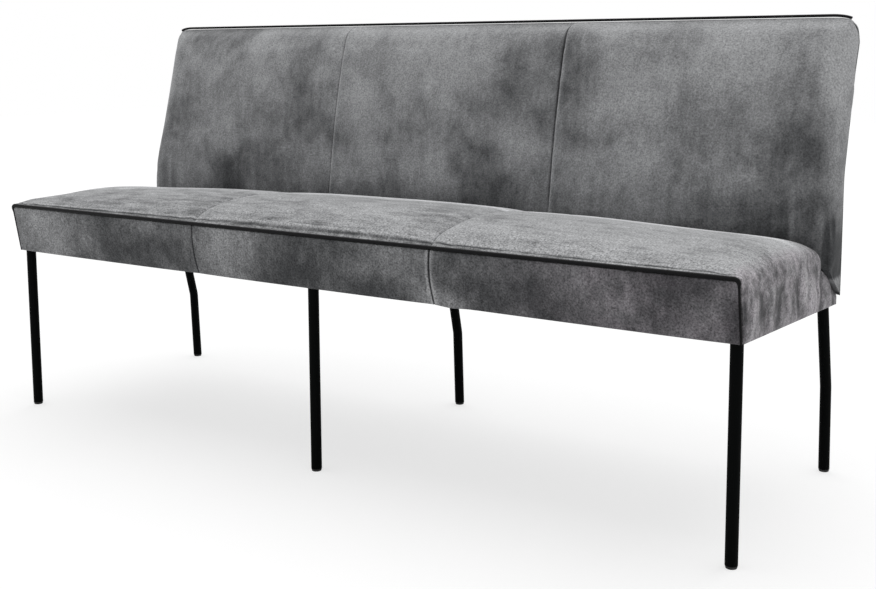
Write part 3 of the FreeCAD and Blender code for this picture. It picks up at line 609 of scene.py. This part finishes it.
class BenchLeather(bpy.types.PropertyGroup):
    """Shape and colours of the upholstery."""
    seat_swell: amount("Seat swell", "Rise of a seat panel between its seams", 0.0065, 0.02, "LENGTH")
    seat_end_swell: amount("Seat end swell", "Rise of an outer seat panel between its seam and its end",
                           0.0005, 0.02, "LENGTH")
    back_swell: amount("Back swell", "Rise of a back panel between its seams", 0.006, 0.02, "LENGTH")
    grid: FloatProperty(
        name="Grid", description="Spacing of the cover's grid before rounding off",
        default=0.009, min=0.005, max=0.02, unit="LENGTH")
    wrinkle: amount("Wrinkle", "Depth of the drawn folds beside seams and at the ends",
                    0.0016, 0.004, "LENGTH")
    # Dark and light pile are mixed by clouds, brush marks and each piece's painted light and shade
    dark: colour("Dark pile", "Colour of the pile brushed away from the light", (0.055, 0.0567, 0.0594))
    light: colour("Light pile", "Colour of the pile brushed towards the light", (0.42, 0.4245, 0.433))
    piping: colour("Piping", "Colour of the piping", (0.005, 0.005, 0.0055))


class BenchBase(bpy.types.PropertyGroup):
    """Colours of the base."""
    steel: colour("Powder coat", "Colour of the coated legs and plates", (0.0018, 0.0022, 0.0022))


class BenchStage(bpy.types.PropertyGroup):
    """Camera and studio light."""
    lens: FloatProperty(
        name="Lens", description="Focal length of the camera", default=49.28, min=10.0, max=200.0)
    top_light: amount("Top light", "Strength of the soft light from above", 1.5, 20.0)
    floor_lift: amount("Floor lift", "How far the camera sees the floor lifted towards white", 1.3, 4.0)
    room_light: amount("Room light", "Strength of the even light from the room", 0.55, 5.0)


class BenchSettings(bpy.types.PropertyGroup):
    """All settings of the bench."""
    leather: PointerProperty(type=BenchLeather, name="Leather", description="Upholstery settings")
    base: PointerProperty(type=BenchBase, name="Base", description="Settings of the base")
    stage: PointerProperty(type=BenchStage, name="Stage", description="Settings of the stage")


# Upholstery shapes

def shoulder(x):
    """How far the back's top edge falls towards its ends."""
    run = max(0.0, abs(x) - (BACK_END - BACK_ROUND)) / BACK_ROUND
    return BACK_SHOULDER_DROP * (1.0 - math.sqrt(max(0.0, 1.0 - run ** 2)))


def seat_lines(spots, spacing, rise):
    """Upper and lower lines of the seat at each station."""
    counts = [SEWN_EDGE_ROWS] + span_counts(SEAT_TOP, spacing)[1:]
    middle = guide_curve(SEAT_TOP, counts)
    end = guide_curve(SEAT_TOP_END, counts)
    tail = even_points((SEAT_TOP[-1], SEAT_TAIL_TOP), 12)[1:]
    fronts, backs = [], []
    for x, u, fall in spots:
        fall += (1.0 - fall) * SEAT_SAG * ramp(*SEAT_SAG_RUN, x)
        top = []
        for index, (inner, outer) in enumerate(zip(middle, end)):
            along = index / len(middle)
            point = inner.lerp(outer, fall)
            share = ramp(0.0, 0.12, along) * ramp(1.0, 0.78, along)
            point.y += share * (rise * swell(u) * (1.0 - fall) - SEAM_DEPTH * seam_roll(u, x))
            top.append(point)
        top += [Vector((p.x, p.y - droop(x) * ramp(0.16, 0.24, p.x))) for p in tail]
        under = even_points(SEAT_UNDER, len(top))
        fronts.append([Vector((x, p.x, p.y)) for p in top])
        backs.append([Vector((x, p.x, p.y)) for p in under])
    return fronts, backs


def back_lines(spots, spacing, rise):
    """Front and rear lines of the back at each station."""
    counts = span_counts(BACK_FRONT, spacing)
    middle = guide_curve(BACK_FRONT, counts)
    end = guide_curve(BACK_FRONT_END, counts)
    behind = even_points(BACK_BEHIND, len(middle))
    behind_end = even_points(BACK_BEHIND_END, len(middle))
    fronts, backs = [], []
    for x, u, fall in spots:
        face = [m.lerp(e, fall) for m, e in zip(middle, end)]
        for point in face:
            share = ramp(0.44, 0.56, point.y) * ramp(0.91, 0.86, point.y)
            point.x -= share * (rise * swell(u) * (1.0 - fall) - SEAM_DEPTH * seam_roll(u, x))
            drawn = BACK_END_DRAW * ramp(0.76, 0.88, x) * ramp(0.56, 0.76, point.y)
            point.x += drawn * (1.0 - fall) * share
        rear = [m.lerp(e, fall) for m, e in zip(behind, behind_end)]
        for point in rear:
            point.x -= rear_turn(x) * ramp(0.90, 0.80, point.y)
            point.y -= droop(x) * ramp(0.46, 0.38, point.y)
        fronts.append([Vector((x, p.x, p.y)) for p in face])
        backs.append([Vector((x, p.x, p.y)) for p in rear])
    return fronts, backs


def section_lines(place, lines, end, round_length, square, spacing, rise):
    """Lines of the left, centre or right sewn section."""
    if place == "centre":
        return lines(panel_stations(-SEAM_X + SEAM_GAP, SEAM_X - SEAM_GAP, spacing), spacing, rise)
    spots = end_stations(SEAM_X + SEAM_GAP, end, round_length, square, spacing)
    fronts, backs = lines(spots, spacing, rise)
    if place == "left":
        return mirror_lines(fronts), mirror_lines(backs)
    return fronts, backs


def end_pleats(place):
    """Upright folds pulled down over a seat end."""
    wander = 0.014 * ripple(place.y * 9.0, place.z * 16.0, 7.0)
    fine = ripple((place.y + wander) * 52.0, place.z * 15.0, 3.0)
    broad = ripple((place.y + wander) * 21.0, place.z * 9.0, 8.0)
    return (0.9 * fine + 0.9 * broad) * (0.35 + 0.65 * ramp(0.48, 0.42, place.z))


def tucks(place):
    """Two upright folds at each lower end of the back, with a ridge between them."""
    across = 0.836 * abs(place.x) + 0.548 * place.y
    deep = groove(across - 0.832, 0.0065) * ramp(0.55, 0.47, place.z)
    short = groove(across - 0.846, 0.005) * ramp(0.55, 0.51, place.z)
    short *= ramp(0.46, 0.50, place.z)
    ridge = groove(across - 0.839, 0.004) * ramp(0.54, 0.48, place.z)
    return deep + 0.6 * short - 0.4 * ridge


def front_panel_lines(start, stop, spacing):
    """Outer and inner lines of a front panel at each station."""
    low, high = Vector(PANEL_LOW), Vector(PANEL_HIGH)
    fronts, backs = [], []
    for x, u, fall in panel_stations(start + SEAM_GAP, stop - SEAM_GAP, spacing):
        face, behind = [], []
        for k in range(PANEL_STEPS + 1):
            t = k / PANEL_STEPS
            y, z = low.lerp(high, t)
            bulge = PANEL_FLATNESS + PANEL_BULGE * swell(u) * (1.0 - (2.0 * t - 1.0) ** 2)
            bow = SEAM_BOW * math.sin(math.pi * t) * math.exp(-seam_distance(x) / 0.04)
            sag = CORNER_SAG * groove(x - 0.336, 0.026) + PANEL_SAG * swell(u)
            face.append(Vector((x - bow, y - bulge, z - sag * ramp(0.5, 0.0, t))))
            behind.append(Vector((x - bow, y + PANEL_THICKNESS, z)))
        fronts.append(face)
        backs.append(behind)
    return fronts, backs


def rear_cover_lines():
    """Outer and inner lines of the rear cover at each station."""
    half = [x for x, u, fall in end_stations(0.0, BACK_END, BACK_ROUND, 1.0, REAR_SPACING)]
    sides = []
    for guide in (REAR_OUTSIDE, REAR_INSIDE):
        points = even_points(guide[:3], 36)[:-1] + guide_curve(guide[2:], (8, 8))
        lines = []
        for x in [-x for x in reversed(half[1:])] + half:
            line = []
            for p in points:
                depth = p.x - rear_turn(x) * ramp(0.90, 0.80, p.y)
                height = p.y - shoulder(x) * ramp(0.60, 0.87, p.y)
                height -= droop(x) * ramp(0.46, 0.38, p.y)
                line.append(Vector((x, depth, height)))
            lines.append(line)
        sides.append(lines)
    return sides


def rear_strip_lines():
    """Outer and inner lines of the strip below the rear cover at each station."""
    low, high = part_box("seat_rear_strip")
    fronts, backs = [], []
    for x, u, fall in panel_stations(low[0], high[0], STRIP_SPACING):
        rise = high[2] + STRIP_RISE - droop(x) - low[2]
        heights = [low[2] + rise * k / STRIP_STEPS for k in range(STRIP_STEPS + 1)]
        fronts.append([Vector((x, high[1] - STRIP_INSET, z)) for z in heights])
        backs.append([Vector((x, low[1] + STRIP_INSET, z)) for z in heights])
    return fronts, backs


def seat_cord():
    """Points of the seat's piping, from its right foot round both corners to its left foot."""
    lean = Vector(SEAT_CORD_LEAN).normalized()
    right = Vector((1.0, 0.0, 0.0))
    corner = SEAT_CORD_CORNER
    low, high = Vector(SEAT_CORD_LOW), Vector(SEAT_CORD_HIGH)
    points = [low.lerp(high - lean * corner, k / 12) for k in range(13)]
    pivot = high - (lean + right) * corner
    for k in range(1, 9):
        angle = 0.5 * math.pi * k / 8
        points.append(pivot + right * (corner * math.cos(angle)) + lean * (corner * math.sin(angle)))
    left = mirror_lines([points[::-1]])[0]
    span = [points[-1].lerp(left[0], k / SEAT_CORD_SPAN_STEPS) for k in range(1, SEAT_CORD_SPAN_STEPS)]
    return points + span + left


def back_cord():
    """Points of the back's piping from left to right, closer together towards the ends."""
    points = []
    for k in range(BACK_CORD_STEPS + 1):
        x = BACK_CORD_END * math.sin(0.5 * math.pi * (2.0 * k / BACK_CORD_STEPS - 1.0))
        points.append(Vector((x, BACK_CORD_DEPTH, BACK_CORD_HEIGHT - shoulder(x))))
    return points


# Folds of the leather, in shares of the wrinkle depth, and the painted light and shade of its pile, at a
# place on a piece

def seat_folds(place):
    """Creases drawn to the seams, soft waves, pleats over the ends and the sewn front edge."""
    drawn = math.exp(-seam_distance(place.x) / 0.035) * ripple(place.x * 9.0, place.y * 34.0, 3.0)
    soft = 0.5 * ripple(place.x * 5.0, place.y * 6.0, place.z * 6.0)
    outer = ramp(0.80, 0.885, abs(place.x))
    pulled = outer * max(-0.6, 2.2 * end_pleats(place) + 0.5)
    edge = groove(place.y + 0.3045, 0.0015) * ramp(0.486, 0.490, place.z)
    return 0.7 * drawn + soft + pulled - 0.6 * edge


def seat_painted_light(place):
    """Painted light and shade in the pile: lighter on top and towards the right end, a painted highlight
    right of each seam and painted shade left of it, a painted light line and shaded groove at the front
    edge, painted shade by the piping low on the ends, and painted light and shade streaked over the end
    pleats.
    """
    side = seam_side(place.x)
    # Painted shade to the left of each seam and a painted highlight just to its right
    shade_left_of_seam = ramp(-0.17, -0.02, side) * ramp(0.004, -0.002, side)
    highlight_right_of_seam = groove(side - 0.003, 0.004)
    # The top face is painted lighter, as lit from above
    top = ramp(0.47, 0.51, place.z)
    # Painted light line along the front edge, with painted shade in the groove in front of it
    lip = groove(place.y + 0.3000, 0.0016) - groove(place.y + 0.3045, 0.0013)
    lip *= ramp(0.486, 0.490, place.z)
    # Painted shade beside the piping, low on the seat ends
    shade = groove(place.y + 0.296, 0.02) * ramp(0.47, 0.42, place.z)
    # Painted light and shade streaked along the end pleats, a little darker overall
    pleat_light_and_shade = ramp(0.865, 0.888, abs(place.x)) * (0.75 * end_pleats(place) - 0.08 - 0.4 * shade)
    # Painted light growing towards the right end of the bench
    return (top * (0.4 - 0.2 * shade_left_of_seam + 0.4 * highlight_right_of_seam) + 0.17 * place.x - 0.06
            + 0.8 * lip + pleat_light_and_shade)


def seat_highlight(place):
    """Painted highlight along the far edge of the seat's top, stronger to the right, and painted light
    over the top's right rear part.
    """
    # Painted highlight along the far edge of the top
    rim_highlight = ramp(-0.085, -0.025, place.y - 0.09 * place.x) * ramp(0.10, 0.04, place.y)
    rim_highlight *= 0.6 + 0.35 * ramp(-0.4, 0.1, place.x)
    # Painted light over the right rear part of the top
    lit = ramp(0.1, 0.5, place.x) * ramp(-0.16, 0.0, place.y)
    return ramp(0.47, 0.51, place.z) * (rim_highlight + 0.18 * lit)


def back_folds(place):
    """Creases drawn to the seams, soft waves, pressed folds low down, tucks and lumps at the ends."""
    drawn = math.exp(-seam_distance(place.x) / 0.035) * ripple(place.x * 9.0, 5.0, place.z * 34.0)
    soft = 0.5 * ripple(place.x * 5.0, 9.0, place.z * 5.0)
    low = ramp(0.62, 0.52, place.z) * ramp(0.1, 0.6, abs(place.x))
    pressed = low * ripple(place.x * 36.0, 2.0, place.z * 7.0)
    outer = ramp(0.82, 0.89, abs(place.x))
    lumpy = outer * ripple((place.x + place.y) * 26.0, 4.0, place.z * 11.0)
    hem = outer * groove(place.z - 0.419, 0.005)
    return 0.7 * drawn + soft + 0.9 * pressed - 3.4 * tucks(place) + 0.5 * lumpy - 1.6 * hem


def back_painted_light(place):
    """Painted light and shade in the pile: lighter high up and darker low down, painted highlights
    beside the seams, round the ends and under the top edge, painted shade on the lower end walls and in
    the tucks, creases and hem crease, painted light on the ridges.
    """
    # Painted highlight just beside each seam, below the top edge
    lit_edge = groove(seam_side(place.x) - 0.003, 0.003) * ramp(0.90, 0.86, place.z)
    # Painted shade on the lower end walls, with painted shade in the hem crease and lighter below it
    wall = ramp(0.884, 0.899, abs(place.x)) * ramp(0.52, 0.47, place.z)
    hem = wall * (ramp(0.416, 0.408, place.z) - groove(place.z - 0.421, 0.005))
    across = abs(place.x) + 0.27 * (place.y - 0.15)
    # Painted highlight round the ends, painted light on the ridges and painted shade in the hollows
    # beside them
    rim = ramp(0.860, 0.915, across) * ramp(0.46, 0.62, place.z)
    ridge = groove(across - 0.8286, 0.006) - 0.6 * groove(across - 0.8133, 0.007)
    hollow = groove(across - 0.857, 0.012) - 0.8 * groove(across - 0.882, 0.005)
    creases = ramp(0.60, 0.54, place.z) * (0.28 * ridge - 0.16 * hollow)
    # Painted shade low down and painted light high up, as lit from above
    low = (0.2 + 0.1 * place.x) * ramp(0.66, 0.47, place.z)
    high = 0.2 * ramp(0.64, 0.86, place.z)
    # Painted highlight just under the top edge
    top_edge_highlight = ramp(0.872, 0.905, place.z) * ramp(-0.6, 0.6, place.x)
    # Painted shade in the tucks at the lower ends
    return (0.5 * lit_edge - low - 1.2 * tucks(place) + 0.36 * rim + creases + high
            - 0.5 * wall + 0.9 * hem + 0.25 * top_edge_highlight)


def panel_folds(place):
    """Creases drawn to the seams, and soft waves."""
    drawn = math.exp(-seam_distance(place.x) / 0.03) * ripple(place.x * 10.0, 7.0, place.z * 40.0)
    soft = 0.6 * ripple(place.x * 7.0, 4.0, place.z * 9.0)
    return 0.5 * drawn + soft


def panel_painted_light(place):
    """Painted light and shade in the pile: painted shade over the whole panel, lighter near its top,
    painted shade in the seams with a painted highlight beside them, broad painted shades and painted
    shade in the lower right corner.
    """
    share = (place.z - PANEL_LOW[1]) / (PANEL_HIGH[1] - PANEL_LOW[1])
    beside = seam_distance(place.x + SEAM_BOW * math.sin(math.pi * share))
    # Painted shade in each seam and a painted highlight beside it
    lit_edge = groove(beside - 0.0045, 0.002) * ramp(-0.4, 0.2, place.x) - 1.4 * groove(beside, 0.0015)
    # Broad painted shades across the panels
    shade = 0.16 * groove(place.x - 0.46, 0.14) + 0.07 * ramp(0.2, 0.5, place.x)
    shade -= 0.10 * groove(place.x + 0.45, 0.3)
    # Painted shade in the lower right corner beside the piping
    corner = groove(place.x - 0.879, 0.016) * ramp(0.475, 0.43, place.z)
    # Painted shade over the whole panel, a little lighter near its top
    return 0.15 * ramp(0.40, 0.48, place.z) - 0.29 + 0.6 * lit_edge - shade - 0.35 * corner


def rear_folds(place):
    """Soft waves, and upright creases low down, flat where the lower edge is tacked."""
    soft = ripple(place.x * 4.0, 3.0, place.z * 5.0)
    creased = ramp(0.50, 0.40, place.z) * ripple(place.x * 26.0, 6.0, place.z * 6.0)
    return 0.5 * ramp(0.384, 0.410, place.z) * (soft + creased)


def cord_mesh(name, points, radius, widths, material):
    """Round piping along points, with its share of the full radius at each."""
    curve = bpy.data.curves.new(name, "CURVE")
    curve.dimensions = "3D"
    curve.bevel_depth = radius
    curve.bevel_resolution = 3
    curve.use_fill_caps = True
    spline = curve.splines.new("POLY")
    spline.points.add(len(points) - 1)
    for target, point, width in zip(spline.points, points, widths):
        target.co = (*point, 1.0)
        target.radius = width
    piece = new_object(name, curve)
    make_active(piece)
    bpy.ops.object.convert(target="MESH")
    bpy.ops.object.shade_smooth()
    wear(piece, material)
    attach(piece, BODY)
    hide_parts(name.replace("_cord", ""))


# Steps

class BENCH_OT_seat(bpy.types.Operator):
    """Sew the three padded sections of the seat"""
    bl_idname = "bench.seat"
    bl_label = "Seat sections"

    def execute(self, context):
        leather = context.scene.bench.leather
        for place in PLACES:
            rise = leather.seat_swell if place == "centre" else leather.seat_end_swell
            lines = section_lines(place, seat_lines, SEAT_END, SEAT_ROUND, SEAT_SQUARENESS, leather.grid,
                                  rise)
            piece = sewn_block(f"seat_section_{place}", *lines, rows=SEAT_WALL_ROWS)
            inflate(piece, SEAT_SLACK, SEAT_FARTHEST)
            displace(piece, seat_folds, leather.wrinkle)
            paint(piece, "pile_light_and_shade", seat_painted_light)
            paint(piece, "painted_highlight", seat_highlight)
            paint(piece, "warm", lambda place: 0.8 * ramp(0.86, 0.89, place.x))
            finish_soft(piece, nubuck("worn_grey_leather", leather),
                        (f"seat_cover_{place}", f"seat_foam_{place}"))
        return {"FINISHED"}


class BENCH_OT_back(bpy.types.Operator):
    """Sew the three padded sections of the back"""
    bl_idname = "bench.back"
    bl_label = "Back sections"

    def execute(self, context):
        leather = context.scene.bench.leather
        for place in PLACES:
            lines = section_lines(place, back_lines, BACK_END, BACK_ROUND, BACK_SQUARENESS, leather.grid,
                                  leather.back_swell)
            piece = sewn_block(f"back_section_{place}", *lines, rows=BACK_WALL_ROWS)
            inflate(piece, BACK_SLACK, BACK_FARTHEST)
            displace(piece, back_folds, leather.wrinkle)
            paint(piece, "pile_light_and_shade", back_painted_light)
            finish_soft(piece, nubuck("brushed_grey_leather", leather),
                        (f"back_cover_{place}", f"back_foam_{place}"))
        return {"FINISHED"}


class BENCH_OT_front_panels(bpy.types.Operator):
    """Sew the three panels under the seat's front edge"""
    bl_idname = "bench.front_panels"
    bl_label = "Front panels"

    def execute(self, context):
        leather = context.scene.bench.leather
        seams = (-PANEL_END, -SEAM_X, SEAM_X, PANEL_END)
        for place, start, stop in zip(PLACES, seams, seams[1:]):
            lines = front_panel_lines(start, stop, leather.grid)
            piece = sewn_block(f"front_panel_{place}", *lines, rows=THIN_ROWS)
            displace(piece, panel_folds, leather.wrinkle)
            paint(piece, "pile_light_and_shade", panel_painted_light)
            paint(piece, "warm", lambda place: 0.9 * ramp(0.25, 0.75, place.x))
            finish_soft(piece, nubuck("pebbled_grey_leather", leather),
                        (f"seat_front_panel_{place}",))
        return {"FINISHED"}


class BENCH_OT_rear_cover(bpy.types.Operator):
    """Stretch the leather over the rear of the back, with the strip under its lower edge"""
    bl_idname = "bench.rear_cover"
    bl_label = "Rear cover"

    def execute(self, context):
        leather = context.scene.bench.leather
        material = nubuck("brushed_grey_leather", leather)
        piece = sewn_block("rear_cover", *rear_cover_lines(), rows=THIN_ROWS)
        displace(piece, rear_folds, leather.wrinkle)
        # Darker towards the bottom
        paint(piece, "pile_light_and_shade", lambda place: -0.1 * ramp(0.62, 0.40, place.z))
        finish_soft(piece, material, ("back_rear_cover",))
        strip = sewn_block("rear_strip", *rear_strip_lines(), rows=THIN_ROWS)
        # The whole strip is darker
        paint(strip, "pile_light_and_shade", lambda place: -0.15)
        finish_soft(strip, material, ("seat_rear_strip",))
        return {"FINISHED"}


class BENCH_OT_piping(bpy.types.Operator):
    """Sew the piping along the seat's front edge and the back's top edge"""
    bl_idname = "bench.piping"
    bl_label = "Piping"

    def execute(self, context):
        piping = context.scene.bench.leather.piping
        dark, light = [0.6 * c for c in piping], [1.6 * c for c in piping]
        material = coated("piping_leather", dark, light, 240.0, (0.3, 0.4), 0.25, specular=0.1)
        points = seat_cord()
        widest = 1.0 - SEAT_CORD_THINNEST
        widths = [SEAT_CORD_THINNEST + widest * ramp(0.474, 0.491, p.z) for p in points]
        cord_mesh("seat_piping_cord", points, SEAT_CORD_RADIUS, widths, material)
        points = back_cord()
        cord_mesh("back_piping_cord", points, BACK_CORD_RADIUS, [1.0] * len(points), material)
        return {"FINISHED"}


class BENCH_OT_base(bpy.types.Operator):
    """Finish the legs, plates, glides and screws"""
    bl_idname = "bench.base"
    bl_label = "Base"

    def execute(self, context):
        steel = context.scene.bench.base.steel
        dark, light = [0.8 * c for c in steel], [1.3 * c for c in steel]
        coat = coated("black_powder_coat", dark, light, 520.0, (0.4, 0.5), 0.12, specular=0.03)
        plastic = coated("moulded_plastic", (0.014, 0.014, 0.014), (0.03, 0.03, 0.03), 300.0,
                         (0.5, 0.65), 0.1)
        zinc = coated("zinc_plate", (0.42, 0.42, 0.43), (0.6, 0.6, 0.61), 160.0,
                      (0.28, 0.42), 0.05, metallic=1.0)
        dress([n for n in NODES if "_leg_" in n or "_plate_" in n], coat)
        dress(["foot_glides"], plastic)
        dress(["plate_screws", "frame_bolts"], zinc)
        return {"FINISHED"}


class BENCH_OT_inside(bpy.types.Operator):
    """Finish the timber, webbing, padding and dust cover"""
    bl_idname = "bench.inside"
    bl_label = "Inside"

    def execute(self, context):
        timber = coated("planed_timber", (0.36, 0.24, 0.13), (0.56, 0.41, 0.25), 60.0,
                        (0.55, 0.75), 0.3, stretch=(0.12, 1.0, 1.0))
        webbing = coated("woven_webbing", (0.02, 0.02, 0.022), (0.06, 0.06, 0.065), 700.0,
                         (0.7, 0.85), 0.5)
        felt = coated("pressed_felt", (0.012, 0.012, 0.013), (0.03, 0.03, 0.032), 900.0,
                      (0.85, 0.95), 0.6)
        foam = coated("cut_foam", (0.55, 0.51, 0.4), (0.74, 0.7, 0.58), 800.0, (0.8, 0.95), 0.5)
        dress([n for n in NODES if "rail" in n or "post" in n or "block" in n], timber)
        dress(["seat_webbing", "back_webbing"], webbing)
        dress(["dust_cover"], felt)
        dress([n for n in NODES if "padding" in n], foam)
        return {"FINISHED"}


def lay_floor(stage):
    """White floor that the camera sees lifted towards the paper white of the background."""
    bpy.ops.object.select_all(action="DESELECT")
    bpy.ops.mesh.primitive_plane_add(size=FLOOR_SIZE, location=(0.0, 0.0, 0.0))
    floor = bpy.context.active_object
    floor.name = "studio_floor"
    material, tree, shader, place = new_material("studio_floor")
    cloudy = noise_node(tree, place, 3.0, 2.0, 0.5, (-700, 200))
    tone = blend_node(tree, cloudy, (0.79, 0.79, 0.79, 1.0), (0.81, 0.81, 0.81, 1.0), (-450, 200))
    tree.links.new(tone, shader.inputs["Base Color"])
    put(shader, Roughness=0.9, Specular_IOR_Level=0.0)
    lift = node(tree, "ShaderNodeEmission", (0, -300))
    put(lift, Strength=stage.floor_lift)
    path = node(tree, "ShaderNodeLightPath", (-400, 500))
    share = math_node(tree, "MULTIPLY", path.outputs["Is Camera Ray"], 0.5, (-200, 500))
    mix = node(tree, "ShaderNodeMixShader", (300, 100))
    tree.links.new(share, mix.inputs[0])
    tree.links.new(shader.outputs[0], mix.inputs[1])
    tree.links.new(lift.outputs[0], mix.inputs[2])
    tree.links.new(mix.outputs[0], tree.nodes["Material Output"].inputs["Surface"])
    floor.data.materials.append(material)


def light_room(scene, stage):
    """Even white room, brighter where it is seen or mirrored, and a broad light from above."""
    world = bpy.data.worlds.new("studio_room")
    scene.world = world
    world.use_nodes = True
    tree = world.node_tree
    background = tree.nodes["Background"]
    path = node(tree, "ShaderNodeLightPath", (-700, 0))
    seen = math_node(tree, "MAXIMUM", path.outputs["Is Camera Ray"], path.outputs["Is Glossy Ray"],
                     (-500, 0))
    level = node(tree, "ShaderNodeMapRange", (-300, 0))
    tree.links.new(seen, level.inputs["Value"])
    put(level, To_Min=stage.room_light, To_Max=1.0)
    tree.links.new(level.outputs["Result"], background.inputs["Strength"])
    put(background, Color=WHITE)
    lamp = bpy.data.lights.new("top_light", "SUN")
    lamp.energy = stage.top_light
    lamp.angle = math.radians(LIGHT_SPREAD)
    top = new_object("top_light", lamp)
    top.rotation_euler = Vector(LIGHT_DIRECTION).to_track_quat("-Z", "Y").to_euler()


def aim_camera(scene, stage):
    """Camera with the photo's view of the bench."""
    lens = bpy.data.cameras.new("photo_camera")
    lens.sensor_fit = "HORIZONTAL"
    lens.sensor_width = CAMERA_SENSOR
    lens.lens = stage.lens
    lens.shift_y = CAMERA_SHIFT
    lens.clip_end = CAMERA_REACH
    camera = new_object("photo_camera", lens)
    yaw, pitch, roll = (math.radians(angle) for angle in (CAMERA_YAW, CAMERA_PITCH, CAMERA_ROLL))
    level_right = Vector((math.cos(yaw), math.sin(yaw), 0.0))
    ahead = Vector((-math.sin(yaw), math.cos(yaw), 0.0))
    forward = ahead * math.cos(pitch) - Vector((0.0, 0.0, math.sin(pitch)))
    level_up = level_right.cross(forward)
    right = level_right * math.cos(roll) + level_up * math.sin(roll)
    up = level_up * math.cos(roll) - level_right * math.sin(roll)
    turn = Matrix((right, up, -forward)).transposed().to_4x4()
    camera.matrix_world = Matrix.Translation(CAMERA_PLACE) @ turn
    scene.camera = camera


class BENCH_OT_stage(bpy.types.Operator):
    """Set the floor, light and camera"""
    bl_idname = "bench.stage"
    bl_label = "Stage"

    def execute(self, context):
        scene = context.scene
        stage = scene.bench.stage
        lay_floor(stage)
        light_room(scene, stage)
        aim_camera(scene, stage)
        scene.view_settings.view_transform = "Standard"
        return {"FINISHED"}


class BENCH_PT_sidebar(bpy.types.Panel):
    """Lists the bench's settings and steps"""
    bl_idname = "BENCH_PT_sidebar"
    bl_label = "Bench"
    bl_space_type = "VIEW_3D"
    bl_region_type = "UI"
    bl_category = "Bench"

    def draw(self, context):
        settings = context.scene.bench
        for group in (settings.leather, settings.base, settings.stage):
            box = self.layout.box()
            for name in group.__annotations__:
                box.prop(group, name)
        for step in STEPS:
            self.layout.operator(step.bl_idname)


STEPS = (BENCH_OT_base, BENCH_OT_inside, BENCH_OT_seat, BENCH_OT_front_panels, BENCH_OT_back,
         BENCH_OT_rear_cover, BENCH_OT_piping, BENCH_OT_stage)
CLASSES = (BenchLeather, BenchBase, BenchStage, BenchSettings, *STEPS, BENCH_PT_sidebar)


def register():
    for cls in CLASSES:
        bpy.utils.register_class(cls)
    bpy.types.Scene.bench = PointerProperty(type=BenchSettings)


def unregister():
    del bpy.types.Scene.bench
    for cls in reversed(CLASSES):
        bpy.utils.unregister_class(cls)


def main():
    register()
    bpy.ops.bench.base()
    bpy.ops.bench.inside()
    bpy.ops.bench.seat()
    bpy.ops.bench.front_panels()
    bpy.ops.bench.back()
    bpy.ops.bench.rear_cover()
    bpy.ops.bench.piping()
    bpy.ops.bench.stage()


if __name__ == "__main__":
    main()
